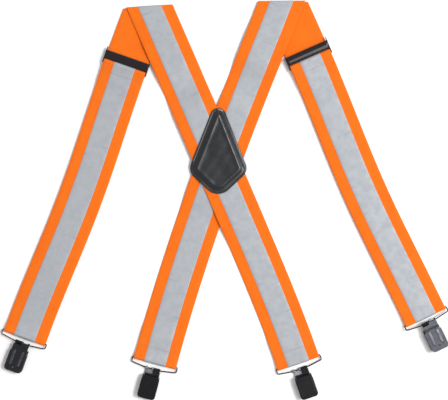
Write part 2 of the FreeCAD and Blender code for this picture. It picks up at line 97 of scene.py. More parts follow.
class Bench:
    """Adds nodes to a tree and joins them."""

    def __init__(self, tree: bpy.types.NodeTree) -> None:
        """Keep the tree that nodes are added to."""
        self.tree = tree

    def put(self, kind: str, settings: dict | None = None, **inputs: object) -> bpy.types.Node:
        """Add a node.

        Args:
            kind: the node's type name.
            settings: values for the node's own properties.
            inputs: what goes into each input, as for feed.

        Returns:
            The new node.
        """
        node = self.tree.nodes.new(kind)
        for name, value in (settings or {}).items():
            setattr(node, name, value)
        self.feed(node, **inputs)
        return node

    def feed(self, node: bpy.types.Node, **inputs: object) -> None:
        """Set or link a node's inputs.

        Args:
            node: the node that is fed.
            inputs: a value or an output socket for each input. Underscores in a name stand for spaces,
                and a name like i0 gives an input by its number.
        """
        for name, value in inputs.items():
            numbered = name[0] == "i" and name[1:].isdigit()
            socket = node.inputs[int(name[1:])] if numbered else node.inputs[name.replace("_", " ")]
            if isinstance(value, bpy.types.NodeSocket):
                self.tree.links.new(value, socket)
            else:
                socket.default_value = value

    def math(self, operation: str, first: object, second: object = 0.0,
             clamp: bool = False) -> bpy.types.NodeSocket:
        """The result of a Math node."""
        node = self.put("ShaderNodeMath", {"operation": operation, "use_clamp": clamp}, i0=first, i1=second)
        return node.outputs[0]

    def times(self, first: object, second: object) -> bpy.types.NodeSocket:
        """The product of two values."""
        return self.math("MULTIPLY", first, second)

    def plus(self, first: object, second: object) -> bpy.types.NodeSocket:
        """The sum of two values."""
        return self.math("ADD", first, second)

    def spread(self, value: object, low: float, high: float, to: Pair = (0.0, 1.0)) -> bpy.types.NodeSocket:
        """A value eased from one range onto another, held at both ends."""
        node = self.put("ShaderNodeMapRange", {"interpolation_type": "SMOOTHSTEP"}, Value=value,
                        From_Min=low, From_Max=high, To_Min=to[0], To_Max=to[1])
        return node.outputs["Result"]

    def blend(self, factor: object, first: object, second: object) -> bpy.types.NodeSocket:
        """Two colours mixed."""
        settings = {"data_type": "RGBA", "blend_type": "MIX"}
        return self.put("ShaderNodeMix", settings, i0=factor, i6=first, i7=second).outputs[2]

    def lay(self, base: object, over: object, mask: object, strength: float) -> bpy.types.NodeSocket:
        """A colour laid over another where a mask shows."""
        return self.blend(self.times(mask, strength), base, over)

    def vector(self, operation: str, **inputs: object) -> bpy.types.NodeSocket:
        """The vector that a Vector Math node gives."""
        return self.put("ShaderNodeVectorMath", {"operation": operation}, **inputs).outputs[0]

    def place(self) -> bpy.types.NodeSocket:
        """The object's own coordinates, in metres."""
        return self.put("ShaderNodeTexCoord").outputs["Object"]

    def noise(self, place: object, scale: object, detail: float, **more: object) -> bpy.types.NodeSocket:
        """The level of a noise texture."""
        node = self.put("ShaderNodeTexNoise", None, Vector=place, Scale=scale, Detail=detail, **more)
        return node.outputs["Fac"]

    def bump(self, strength: float, depth: float, height: object, **more: object) -> bpy.types.NodeSocket:
        """A normal tipped by a height."""
        node = self.put("ShaderNodeBump", None, Strength=strength, Distance=depth, Height=height, **more)
        return node.outputs[0]

    def effect(self, tree: bpy.types.NodeTree, **inputs: object) -> bpy.types.NodeOutputs:
        """The outputs of a shared node group."""
        return self.put("ShaderNodeGroup", {"node_tree": tree}, **inputs).outputs


class Kind(Enum):
    """Socket types used on the node groups."""

    NUMBER = "NodeSocketFloat"
    WHOLE = "NodeSocketInt"
    VECTOR = "NodeSocketVector"
    MATERIAL = "NodeSocketMaterial"
    SHAPE = "NodeSocketGeometry"


def numbers(*names: str) -> dict[str, Kind]:
    """Number sockets with these names."""
    return {name: Kind.NUMBER for name in names}


def make_group(name: str, tree_type: str, takes: dict[str, Kind], gives: dict[str, Kind]) -> tuple:
    """An empty node group with named sockets.

    Args:
        name: the group's name.
        tree_type: ShaderNodeTree or GeometryNodeTree.
        takes: input names and kinds.
        gives: output names and kinds.

    Returns:
        A bench on the group's tree, the sockets of its inputs and its output node.
    """
    tree = bpy.data.node_groups.new(name, tree_type)
    for direction, sockets in (("INPUT", takes), ("OUTPUT", gives)):
        for label, kind in sockets.items():
            tree.interface.new_socket(label, in_out=direction, socket_type=kind.value)
    return Bench(tree), tree.nodes.new("NodeGroupInput").outputs, tree.nodes.new("NodeGroupOutput")


# ------------------------------------------------------------------ effects that finishes share


class Effects:
    """The shader node groups that more than one finish uses."""

    def __init__(self) -> None:
        """Build every group once."""
        self.weave = self._weave()
        self.worn_edges = self._worn_edges()
        self.mottle = self._mottle()
        self.grain = self._grain()

    def _weave(self) -> bpy.types.NodeTree:
        """Herringbone weave: warp cords along the strip, each float a quarter pick further than the last.

        Returns:
            A group from distance along and across the strip to a thread height, a groove shade and fuzz.
        """
        bench, given, result = make_group("herringbone", "ShaderNodeTree",
                                          numbers("Along", "Across", "Cord", "Pick"),
                                          numbers("Height", "Groove", "Fuzz"))
        cords_each_way, pick_shift = 5.0, 0.25
        cord = bench.math("DIVIDE", given["Across"], given["Cord"])
        pick = bench.math("DIVIDE", given["Along"], given["Pick"])
        zigzag = bench.math("PINGPONG", bench.math("FLOOR", cord), cords_each_way)
        shifted = bench.math("FRACT", bench.plus(pick, bench.times(zigzag, pick_shift)))
        cord_wave = bench.math("SINE", bench.times(bench.math("FRACT", cord), math.pi))
        pick_wave = bench.math("SINE", bench.times(shifted, math.pi))
        float_height = bench.plus(0.45, bench.times(bench.math("POWER", pick_wave, 0.7), 0.55))
        height = bench.times(bench.math("POWER", cord_wave, 0.8), float_height)
        place = bench.put("ShaderNodeCombineXYZ", None, X=given["Along"], Y=given["Across"])
        fuzz = bench.noise(place.outputs[0], 2600.0, 3.0)
        bench.feed(result, Height=bench.plus(height, bench.times(fuzz, 0.35)),
                   Groove=bench.spread(height, 0.15, 0.85, (1.0, 0.0)), Fuzz=fuzz)
        return bench.tree

    def _worn_edges(self) -> bpy.types.NodeTree:
        """Rubbed edges of hard parts.

        Returns:
            A group from an edge radius and a patch size to a wear mask and an eased normal.
        """
        bench, given, result = make_group("worn_edges", "ShaderNodeTree",
                                          numbers("Radius", "Patch Size", "Reach"),
                                          {"Mask": Kind.NUMBER, "Normal": Kind.VECTOR})
        eased_normal = bench.put("ShaderNodeBevel", {"samples": 6}, Radius=given["Radius"]).outputs[0]
        true = bench.put("ShaderNodeNewGeometry").outputs["True Normal"]
        alike = bench.put("ShaderNodeVectorMath", {"operation": "DOT_PRODUCT"}, i0=eased_normal, i1=true)
        edge = bench.spread(alike.outputs["Value"], 0.995, 0.86)
        patches = bench.noise(bench.place(), bench.math("DIVIDE", 1.0, given["Patch Size"]), 5.0)
        threshold = bench.math("SUBTRACT", 1.0, given["Reach"])
        share = bench.math("MULTIPLY", bench.math("SUBTRACT", patches, threshold), 6.0, True)
        bench.feed(result, Mask=bench.times(edge, share), Normal=eased_normal)
        return bench.tree

    def _mottle(self) -> bpy.types.NodeTree:
        """Slow unevenness of colour and a few fine specks of lint.

        Returns:
            A group from a patch size and an amount of lint to a tone from 0 to 1 and a lint mask.
        """
        bench, given, result = make_group("mottle", "ShaderNodeTree", numbers("Patch Size", "Lint"),
                                          numbers("Tone", "Lint"))
        place = bench.place()
        slow = bench.noise(place, bench.math("DIVIDE", 1.0, given["Patch Size"]), 4.0, Roughness=0.6)
        specks = bench.put("ShaderNodeTexVoronoi", None, Vector=place, Scale=420.0).outputs["Distance"]
        few = bench.spread(bench.noise(place, 90.0, 1.0), 0.62, 0.7)
        near = bench.spread(specks, 0.0, 0.16, (1.0, 0.0))
        bench.feed(result, Tone=bench.spread(slow, 0.3, 0.7),
                   Lint=bench.times(bench.times(near, few), given["Lint"]))
        return bench.tree

    def _grain(self) -> bpy.types.NodeTree:
        """Pebbled skin: small cells with creases between them.

        Returns:
            A group from a cell size and a wobble to a height and a crease mask.
        """
        bench, given, result = make_group("pebble_grain", "ShaderNodeTree", numbers("Cell", "Wobble"),
                                          numbers("Height", "Crease"))
        place = bench.place()
        bend = bench.put("ShaderNodeTexNoise", None, Vector=place, Scale=600.0, Detail=2.0)
        shift = bench.vector("SCALE", i0=bend.outputs["Color"], Scale=given["Wobble"])
        cells = bench.put("ShaderNodeTexVoronoi", {"feature": "DISTANCE_TO_EDGE"},
                          Vector=bench.vector("ADD", i0=place, i1=shift),
                          Scale=bench.math("DIVIDE", 1.0, given["Cell"])).outputs["Distance"]
        pores = bench.noise(place, 3200.0, 2.0)
        bench.feed(result, Height=bench.plus(bench.spread(cells, 0.0, 0.35), bench.times(pores, 0.25)),
                   Crease=bench.spread(cells, 0.0, 0.22, (1.0, 0.0)))
        return bench.tree

    def mottled(self, bench: Bench, patch: float, lint: float) -> bpy.types.NodeOutputs:
        """The mottle's outputs for a patch size."""
        return bench.effect(self.mottle, Patch_Size=patch, Lint=lint)

    def worn(self, bench: Bench, radius: float, patch: float, reach: float) -> bpy.types.NodeOutputs:
        """The worn edges' outputs for an edge radius."""
        return bench.effect(self.worn_edges, Radius=radius, Patch_Size=patch, Reach=reach)

    def woven(self, bench: Bench, cord: float, pick: float) -> tuple:
        """The cloth's own coordinates, and the weave's outputs on them."""
        cloth = bench.put("ShaderNodeUVMap", {"uv_map": "cloth"}).outputs[0]
        parts = bench.put("ShaderNodeSeparateXYZ", None, Vector=cloth).outputs
        return cloth, bench.effect(self.weave, Along=parts[0], Across=parts[1], Cord=cord, Pick=pick)


# ------------------------------------------------------------------ finishes


@dataclass(frozen=True)
class Finish:
    """A surface finish: subclasses paint the nodes, and the material is made once."""

    name: str

    def material(self, effects: Effects) -> bpy.types.Material:
        """The material of this finish.

        Args:
            effects: the shared shader groups.

        Returns:
            The material, made on the first call.
        """
        found = bpy.data.materials.get(self.name)
        if found:
            return found
        made = bpy.data.materials.new(self.name)
        made.use_nodes = True
        made.node_tree.nodes.clear()
        bench = Bench(made.node_tree)
        shader = bench.put("ShaderNodeBsdfPrincipled")
        bench.put("ShaderNodeOutputMaterial", None, Surface=shader.outputs[0])
        self.paint(bench, shader, effects)
        return made

    def paint(self, bench: Bench, shader: bpy.types.Node, effects: Effects) -> None:
        """Feed the shader; each finish does this its own way."""
        raise NotImplementedError


@dataclass(frozen=True)
class Webbing(Finish):
    """Dyed polyester webbing."""

    bright: Colour
    deep: Colour
    cord: float = 0.62 * MM
    pick: float = 2.1 * MM
    lint: Colour = tint(235, 200, 160)

    def paint(self, bench: Bench, shader: bpy.types.Node, effects: Effects) -> None:
        """Woven threads from the strip's own coordinates, with painted shade in the weave's grooves, slow
        unevenness and a little lint.
        """
        weave = effects.woven(bench, self.cord, self.pick)[1]
        mottle = effects.mottled(bench, 22 * MM, 0.5)
        # painted shade: the deep orange laid into the weave's grooves, where shade falls between the cords
        coloured = bench.lay(self.bright, self.deep, weave["Groove"], 0.42)
        toned = bench.lay(coloured, self.deep, mottle["Tone"], 0.22)
        bench.feed(shader, Base_Color=bench.lay(toned, self.lint, mottle["Lint"], 0.3),
                   Roughness=bench.plus(0.72, bench.times(weave["Fuzz"], 0.2)),
                   Normal=bench.bump(0.55, 0.25 * MM, weave["Height"]),
                   Sheen_Weight=0.25, Sheen_Roughness=0.4, Specular_IOR_Level=0.25)


@dataclass(frozen=True)
class BeadedTape(Finish):
    """Silver reflective tape: a cloth back coated with tiny glass beads."""

    silver: Colour
    # worn: grey of rubbed tape, also laid into the weave's grooves as painted shade
    worn: Colour
    cord: float = 0.62 * MM

    def paint(self, bench: Bench, shader: bpy.types.Node, effects: Effects) -> None:
        """Fine beads over the weave of the backing, with rubbed and creased places and painted shade in the
        weave's grooves.
        """
        cloth, weave = effects.woven(bench, self.cord, self.cord)
        tone = effects.mottled(bench, 7 * MM, 0.2)["Tone"]
        beads = bench.put("ShaderNodeTexVoronoi", None, Vector=cloth, Scale=5200.0).outputs["Distance"]
        stretched = bench.vector("MULTIPLY", i0=cloth, i1=(160.0, 28.0, 1.0))
        lines = bench.spread(bench.noise(stretched, 1.0, 5.0), 0.6, 0.72)
        cloudy = bench.spread(tone, 0.0, 1.0, (0.26, 0.4))
        lined = bench.lay(bench.blend(cloudy, self.silver, self.worn), self.worn, lines, 0.45)
        relief = bench.plus(bench.times(weave["Height"], 0.4), beads)
        # painted shade: the worn grey laid into the weave's grooves, where shade falls between the cords
        bench.feed(shader, Base_Color=bench.lay(lined, self.worn, weave["Groove"], 0.3),
                   Roughness=bench.plus(0.5, bench.times(tone, 0.16)),
                   Metallic=bench.plus(0.1, bench.times(beads, 0.15)),
                   Normal=bench.bump(0.3, 0.08 * MM, relief))


@dataclass(frozen=True)
class Thread(Finish):
    """Twisted sewing thread."""

    colour: Colour
    shadow: Colour

    def paint(self, bench: Bench, shader: bpy.types.Node, effects: Effects) -> None:
        """Strands twisting along the thread, darker between them."""
        tone = effects.mottled(bench, 4 * MM, 0.0)["Tone"]
        twist = bench.put("ShaderNodeTexWave", {"bands_direction": "DIAGONAL"}, Vector=bench.place(),
                          Scale=1100.0, Distortion=1.5).outputs["Fac"]
        toned = bench.plus(bench.times(twist, 0.5), bench.times(tone, 0.3))
        bench.feed(shader, Base_Color=bench.blend(toned, self.colour, self.shadow),
                   Normal=bench.bump(0.5, 0.1 * MM, twist), Roughness=0.6)


@dataclass(frozen=True)
class Leather(Finish):
    """Finished black leather."""

    face: Colour
    rubbed: Colour
    cell: float = 0.7 * MM
    # painted shade for the grain's creases
    creased: Colour = tint(22, 22, 25)
    edge: Colour = tint(112, 112, 114)
    lint: Colour = tint(120, 118, 116)

    def paint(self, bench: Bench, shader: bpy.types.Node, effects: Effects) -> None:
        """Pebbled grain with painted shade in its creases, greyer where it is rubbed, with a little lint.
        """
        grain = bench.effect(effects.grain, Cell=self.cell, Wobble=0.6 * MM)
        mottle = effects.mottled(bench, 14 * MM, 1.0)
        wear = effects.worn(bench, 0.7 * MM, 5 * MM, 0.6)
        base = bench.lay(self.face, self.rubbed, mottle["Tone"], 0.6)
        # painted shade: the grain's creases darkened, where shade falls between the cells
        creased = bench.lay(base, self.creased, grain["Crease"], 0.16)
        edged = bench.lay(creased, self.edge, wear["Mask"], 0.35)
        bench.feed(shader, Base_Color=bench.lay(edged, self.lint, mottle["Lint"], 0.2),
                   Roughness=bench.plus(0.26, bench.times(mottle["Tone"], 0.1)),
                   Normal=bench.bump(0.16, 0.1 * MM, grain["Height"]), Specular_IOR_Level=0.5)


@dataclass(frozen=True)
class LacqueredMetal(Finish):
    """Pressed metal with a lacquered or plated coat that wears thin on its edges."""

    lacquer: Colour
    shade: Colour
    bare: Colour
    roughness: float = 0.24
    wear: float = 0.52
    metal: float = 0.0
    ior: float = 1.45
    edge: float = 0.28 * MM

    def paint(self, bench: Bench, shader: bpy.types.Node, effects: Effects) -> None:
        """A coat with faint orange peel, handling marks and bright rubbed edges."""
        worn = effects.worn(bench, self.edge, 2.5 * MM, self.wear)
        tone = effects.mottled(bench, 6 * MM, 0.3)["Tone"]
        place = bench.place()
        peel = bench.noise(place, 900.0, 2.0)
        rub_place = bench.vector("MULTIPLY", i0=place, i1=(1.0, 2.5, 1.0))
        rubs = bench.noise(rub_place, 260.0, 6.0, Roughness=0.7)
        coat = bench.blend(tone, self.lacquer, self.shade)
        bench.feed(shader, Base_Color=bench.blend(worn["Mask"], coat, self.bare),
                   Metallic=bench.plus(self.metal, bench.times(worn["Mask"], 0.95 - self.metal)),
                   Roughness=bench.spread(rubs, 0.45, 0.8, (self.roughness, self.roughness + 0.08)),
                   Normal=bench.bump(0.16, 0.05 * MM, peel, Normal=worn["Normal"]), IOR=self.ior)


@dataclass(frozen=True)
class BareMetal(Finish):
    """Drawn or turned steel, lightly brushed."""

    steel: Colour
    dull: Colour
    roughness: float = 0.3

    def paint(self, bench: Bench, shader: bpy.types.Node, effects: Effects) -> None:
        """Metal with fine draw marks and a little tarnish."""
        tone = effects.mottled(bench, 3 * MM, 0.0)["Tone"]
        marks = bench.noise(bench.place(), 2200.0, 3.0)
        bench.feed(shader, Base_Color=bench.lay(self.steel, self.dull, tone, 0.7),
                   Roughness=bench.spread(marks, 0.3, 0.7, (self.roughness, self.roughness + 0.15)),
                   Normal=bench.bump(0.12, 0.03 * MM, marks), Metallic=0.95)


@dataclass(frozen=True)
class MouldedPlastic(Finish):
    """Tough moulded plastic of the grip pads."""

    colour: Colour
    tone: Colour = tint(58, 58, 60)
    edge: Colour = tint(110, 110, 112)

    def paint(self, bench: Bench, shader: bpy.types.Node, effects: Effects) -> None:
        """Fine spark texture with greyed edges."""
        tone = effects.mottled(bench, 4 * MM, 0.4)["Tone"]
        mask = effects.worn(bench, 0.15 * MM, 2 * MM, 0.5)["Mask"]
        spark = bench.noise(bench.place(), 4200.0, 2.0)
        toned = bench.lay(self.colour, self.tone, tone, 0.5)
        bench.feed(shader, Base_Color=bench.lay(toned, self.edge, mask, 0.4),
                   Normal=bench.bump(0.3, 0.04 * MM, spark), Roughness=0.55)


@dataclass(frozen=True)
class Paper(Finish):
    """Matt white background paper for the floor."""

    white: Colour

    def paint(self, bench: Bench, shader: bpy.types.Node, effects: Effects) -> None:
        """Plain paper with the faintest tooth."""
        tooth = bench.noise(bench.place(), 700.0, 2.0)
        bench.feed(shader, Normal=bench.bump(0.05, 0.1 * MM, tooth), Base_Color=self.white,
                   Roughness=0.95, Specular_IOR_Level=0.1)


@dataclass(frozen=True)
class Finishes:
    """Every finish on the braces."""

    webbing: Finish = Webbing("orange_webbing", tint(240, 115, 12), tint(222, 86, 4))
    tape: Finish = BeadedTape("beaded_tape", tint(178, 181, 184), tint(134, 140, 150))
    tape_thread: Finish = Thread("tape_thread", tint(176, 177, 178), tint(140, 141, 143))
    bar_thread: Finish = Thread("bar_thread", tint(172, 134, 106), tint(112, 82, 62))
    patch_thread: Finish = Thread("rim_thread", tint(88, 89, 92), tint(34, 34, 37))
    leather: Finish = Leather("black_leather", tint(24, 26, 30), tint(34, 36, 41))
    clip: Finish = LacqueredMetal("clip_lacquer", tint(10, 9, 12), tint(15, 14, 18), tint(62, 62, 66),
                                  0.3, ior=1.34)
    plate: Finish = LacqueredMetal("black_nickel", tint(52, 53, 57), tint(62, 63, 68),
                                   tint(150, 151, 156), 0.2, 0.55, 0.9)
    nickel: Finish = LacqueredMetal("bright_nickel", tint(168, 169, 174), tint(140, 141, 148),
                                    tint(200, 200, 204), 0.26, 0.55, 0.9)
    # the ribs' lighter nickel: painted highlight, a lit copy of the plate's black nickel
    rubbed: Finish = LacqueredMetal("rib_highlight_nickel", tint(98, 99, 104), tint(72, 73, 78),
                                    tint(150, 150, 155), 0.32, 0.55, 0.9)
    adjuster: Finish = LacqueredMetal("adjuster_lacquer", tint(28, 19, 24), tint(22, 15, 19),
                                      tint(80, 68, 70), 0.17)
    wire: Finish = LacqueredMetal("wire_lacquer", tint(30, 28, 30), tint(22, 21, 23),
                                  tint(110, 108, 108), 0.25, 0.5)
    pin: Finish = BareMetal("turned_steel", tint(96, 96, 100), tint(66, 66, 70))
    pad: Finish = MouldedPlastic("toothed_plastic", tint(34, 34, 36))
    paper: Finish = Paper("paper", (0.93, 0.93, 0.93, 1.0))


# ------------------------------------------------------------------ mesh helpers


def make_object(name: str, vertices: np.ndarray | list, faces: list,
                material: bpy.types.Material) -> bpy.types.Object:
    """A smooth-shaded mesh object at the origin.

    Args:
        name: the piece's name.
        vertices: points in the row frame, in metres.
        faces: corner numbers of each face.
        material: its one material.

    Returns:
        The object, linked to the scene.
    """
    mesh = bpy.data.meshes.new(name)
    mesh.from_pydata([tuple(v) for v in vertices], [], faces)
    mesh.materials.append(material)
    mesh.polygons.foreach_set("use_smooth", [True] * len(mesh.polygons))
    made = bpy.data.objects.new(name, mesh)
    bpy.context.scene.collection.objects.link(made)
    return made


def face_outwards(made: bpy.types.Object, merge: float = 0.0) -> None:
    """Turn every face of a closed mesh outwards.

    Args:
        made: the mesh object.
        merge: points nearer than this are merged first.
    """
    shell = bmesh.new()
    shell.from_mesh(made.data)
    if merge:
        bmesh.ops.remove_doubles(shell, verts=shell.verts, dist=merge)
    bmesh.ops.recalc_face_normals(shell, faces=shell.faces)
    shell.to_mesh(made.data)
    shell.free()


def ring_faces(rows: int, size: int, first: int = 0) -> list:
    """Faces between the rows of a swept ring.

    Args:
        rows: how many rings of points there are.
        size: points in each ring.
        first: number of the first point.

    Returns:
        Corner numbers of each face, row by row.
    """
    faces = []
    for k in range(rows - 1):
        near, far = first + k * size, first + (k + 1) * size
        for m in range(size):
            n = (m + 1) % size
            faces.append((near + m, near + n, far + n, far + m))
    return faces


def line_host(name: str, points: list, edges: list) -> bpy.types.Object:
    """An object that holds only lines, for a Geometry Nodes tree to work on."""
    mesh = bpy.data.meshes.new(name)
    mesh.from_pydata(points, edges, [])
    host = bpy.data.objects.new(name, mesh)
    bpy.context.scene.collection.objects.link(host)
    return host


def eased(value: np.ndarray) -> np.ndarray:
    """Smooth step from 0 to 1."""
    held = np.clip(value, 0.0, 1.0)
    return held * held * (3 - 2 * held)


class StitchMaker:
    """Geometry Nodes tree that sews stitches along a line."""

    def __init__(self) -> None:
        """Build the tree once."""
        bench, given, result = make_group(
            "stitch_row", "GeometryNodeTree",
            {"Line": Kind.SHAPE}
            | numbers("Pitch", "Stitch Length", "Thread Width", "Thread Rise", "Wander")
            | {"Seed": Kind.WHOLE, "Thread": Kind.MATERIAL},
            {"Stitches": Kind.SHAPE})
        line = bench.put("GeometryNodeMeshToCurve", None, Mesh=given["Line"])
        spaced = bench.put("GeometryNodeResampleCurve", {"mode": "LENGTH"}, Curve=line.outputs[0],
                           Length=given["Pitch"])
        ball = bench.put("GeometryNodeMeshUVSphere", None, Segments=7, Rings=5, Radius=0.5)
        size = bench.put("ShaderNodeCombineXYZ", None, X=given["Stitch Length"],
                         Y=given["Thread Width"], Z=given["Thread Rise"])
        stitch = bench.put("GeometryNodeTransform", None, Geometry=ball.outputs[0], Scale=size.outputs[0])
        smooth = bench.put("GeometryNodeSetShadeSmooth", None, Geometry=stitch.outputs[0])
        tangent = bench.put("GeometryNodeInputTangent")
        up = bench.put("GeometryNodeInputNamedAttribute", {"data_type": "FLOAT_VECTOR"}, Name="lie")
        along = bench.put("FunctionNodeAlignRotationToVector", {"axis": "X"}, Vector=tangent.outputs[0])
        lying = bench.put("FunctionNodeAlignRotationToVector", {"axis": "Z", "pivot_axis": "X"},
                          Rotation=along.outputs[0], Vector=up.outputs[0])
        away = bench.math("MULTIPLY", given["Wander"], -1.0)
        wander = bench.put("FunctionNodeRandomValue", {"data_type": "FLOAT"}, i2=away,
                           i3=given["Wander"], Seed=given["Seed"])
        about = bench.put("ShaderNodeCombineXYZ", None, Z=wander.outputs[1])
        turned = bench.put("FunctionNodeRotateRotation", {"rotation_space": "LOCAL"}, i0=lying.outputs[0],
                           i1=about.outputs[0])
        sewn = bench.put("GeometryNodeInstanceOnPoints", None, Points=spaced.outputs[0],
                         Instance=smooth.outputs[0], Rotation=turned.outputs[0])
        real = bench.put("GeometryNodeRealizeInstances", None, Geometry=sewn.outputs[0])
        coloured = bench.put("GeometryNodeSetMaterial", None, Geometry=real.outputs[0],
                         Material=given["Thread"])
        bench.feed(result, Stitches=coloured.outputs[0])
        self.tree = bench.tree

    def sew(self, name: str, lines: list, values: dict[str, object]) -> bpy.types.Object:
        """Sew along lines.

        Args:
            name: the piece's name.
            lines: for each line its points and the surface normal at each.
            values: the tree's named inputs.

        Returns:
            One plain mesh object with every stitch.
        """
        points: list = []
        lies: list = []
        edges: list = []
        for places, normals in lines:
            first = len(points)
            points += [tuple(p) for p in places]
            lies += [tuple(n) for n in normals]
            edges += [(first + k, first + k + 1) for k in range(len(places) - 1)]
        host = line_host(name + "_line", points, edges)
        lie = host.data.attributes.new("lie", "FLOAT_VECTOR", "POINT")
        lie.data.foreach_set("vector", np.array(lies, np.float32).ravel())
        return grown(host, name, self.tree, values)


def stitches(sizes: tuple[float, float, float, float], wander: float, seed: int,
             thread: bpy.types.Material) -> dict[str, object]:
    """Inputs of the stitch tree.

    Args:
        sizes: pitch, stitch length, thread width and thread rise, in millimetres.
        wander: how far stitches turn out of line, in radians.
        seed: of those turns.
        thread: the thread's finish.

    Returns:
        A value for each named input.
    """
    labels = ("Pitch", "Stitch Length", "Thread Width", "Thread Rise")
    return {label: size * MM for label, size in zip(labels, sizes)} | {
        "Wander": wander, "Seed": seed, "Thread": thread}


def grown(host: bpy.types.Object, name: str, tree: bpy.types.NodeTree, values: dict) -> bpy.types.Object:
    """Run a Geometry Nodes tree on a host and keep only its result.

    Args:
        host: the object that carries the tree's source line; it is removed.
        name: the new piece's name.
        tree: the Geometry Nodes tree.
        values: its named inputs.

    Returns:
        A plain mesh object at the origin.
    """
    modifier = host.modifiers.new("nodes", "NODES")
    modifier.node_group = tree
    sockets = {s.name: s.identifier for s in tree.interface.items_tree if s.in_out == "INPUT"}
    for label, value in values.items():
        modifier[sockets[label]] = value
    bpy.context.view_layer.update()
    settled = host.evaluated_get(bpy.context.evaluated_depsgraph_get())
    mesh = bpy.data.meshes.new_from_object(settled)
    mesh.name = name
    bpy.data.objects.remove(host)
    made = bpy.data.objects.new(name, mesh)
    bpy.context.scene.collection.objects.link(made)
    return made


class WireMaker:
    """Geometry Nodes tree that bends round wire along a cornered line."""

    def __init__(self) -> None:
        """Build the tree once."""
        bench, given, result = make_group(
            "bent_wire", "GeometryNodeTree",
            {"Line": Kind.SHAPE, "Corner Radius": Kind.NUMBER, "Wire Radius": Kind.NUMBER,
             "Material": Kind.MATERIAL},
            {"Wire": Kind.SHAPE})
        line = bench.put("GeometryNodeMeshToCurve", None, Mesh=given["Line"])
        bent = bench.put("GeometryNodeFilletCurve", {"mode": "POLY"}, Curve=line.outputs[0], Count=8,
                         Radius=given["Corner Radius"])
        section = bench.put("GeometryNodeCurvePrimitiveCircle", None, Resolution=20,
                            Radius=given["Wire Radius"])
        swept = bench.put("GeometryNodeCurveToMesh", None, Curve=bent.outputs[0],
                          Profile_Curve=section.outputs[0])
        smooth = bench.put("GeometryNodeSetShadeSmooth", None, Geometry=swept.outputs[0])
        real = bench.put("GeometryNodeRealizeInstances", None, Geometry=smooth.outputs[0])
        dressed = bench.put("GeometryNodeSetMaterial", None, Geometry=real.outputs[0],
                            Material=given["Material"])
        bench.feed(result, Wire=dressed.outputs[0])
        self.tree = bench.tree

    def bend(self, name: str, corners: list[Vector], corner: float, radius: float,
             material: bpy.types.Material) -> bpy.types.Object:
        """Bend one closed loop.

        Args:
            name: the piece's name.
            corners: the loop's corners in order.
            corner: bend radius at the wire's centreline.
            radius: the wire's own radius.
            material: its finish.

        Returns:
            The loop as a plain mesh object.
        """
        count = len(corners)
        edges = [(k, (k + 1) % count) for k in range(count)]
        host = line_host(name + "_line", [tuple(c) for c in corners], edges)
        values = {"Corner Radius": corner, "Wire Radius": radius, "Material": material}
        return grown(host, name, self.tree, values)


# ------------------------------------------------------------------ straps


@dataclass(frozen=True)
class StrapPlan:
    """Where one side's straps run in plan and at what level, as the CAD lays them out.

    Lengths are in metres and turns in degrees. The drop is from the fold to the adjuster, the bow is
    the leg's sideways bulge, and over is the extra level where this strap crosses the other one.
    """

    side: Side
    fold: Pair
    fold_turn: float
    spread: float
    back_end: Pair
    back_turn: float
    front_end: Pair
    front_turn: float
    adjuster_drop: float
    adjuster_turn: float
    bow: float
    over: float
    ramp: float
    reach: float
    crossing: Pair = (-7.1 * MM, 39.8 * MM)


PLANS = {
    Side.LEFT: StrapPlan(
        Side.LEFT, fold=(-86.7 * MM, 221.0 * MM), fold_turn=3.6, spread=1.7 * MM,
        back_end=(85.4 * MM, -188.0 * MM), back_turn=19.0, front_end=(-229.0 * MM, -159.0 * MM),
        front_turn=-20.0, adjuster_drop=66.2 * MM, adjuster_turn=-19.3, bow=3.6 * MM, over=3.4 * MM,
        ramp=24 * MM, reach=66 * MM),
    Side.RIGHT: StrapPlan(
        Side.RIGHT, fold=(67.2 * MM, 226.8 * MM), fold_turn=0.5, spread=-1.7 * MM,
        back_end=(-79.7 * MM, -188.0 * MM), back_turn=-15.0, front_end=(231.2 * MM, -135.6 * MM),
        front_turn=25.6, adjuster_drop=64.6 * MM, adjuster_turn=23.8, bow=-3.4 * MM, over=1.5 * MM,
        ramp=16 * MM, reach=44 * MM),
}


@dataclass(frozen=True)
class Cloth:
    """Thicknesses, widths and levels of the webbing and its tape."""

    web_width: float = 50.0 * MM
    web: float = 1.5 * MM
    tape_width: float = 25.0 * MM
    tape: float = 0.3 * MM
    gap: float = 0.2 * MM
    wrap: float = 1.0 * MM
    wire_z: float = 2.8 * MM
    front_z: float = 0.3 * MM
    tail_top: float = 1.9 * MM
    hump: float = 1.3 * MM
    over_hump: float = 3.5 * MM
    return_bar: Pair = (8.0 * MM, 5.2 * MM)

    @property
    def upper_z(self) -> float:
        """Underside of a layer that lies on the front strap."""
        return self.front_z + self.web + self.gap


CLOTH = Cloth()


def frame_shift() -> Vector:
    """The small move from the plan's own origin to the row frame, read from a loop's pivot."""
    plan = PLANS[Side.LEFT]
    pivot = joint("left_front_loop_swing")["pos_m"]
    angle = math.radians(plan.front_turn - 90)
    planned = Vector(plan.front_end) - CLOTH.wire_z * Vector((math.cos(angle), math.sin(angle)))
    return Vector(pivot[:2]) - planned


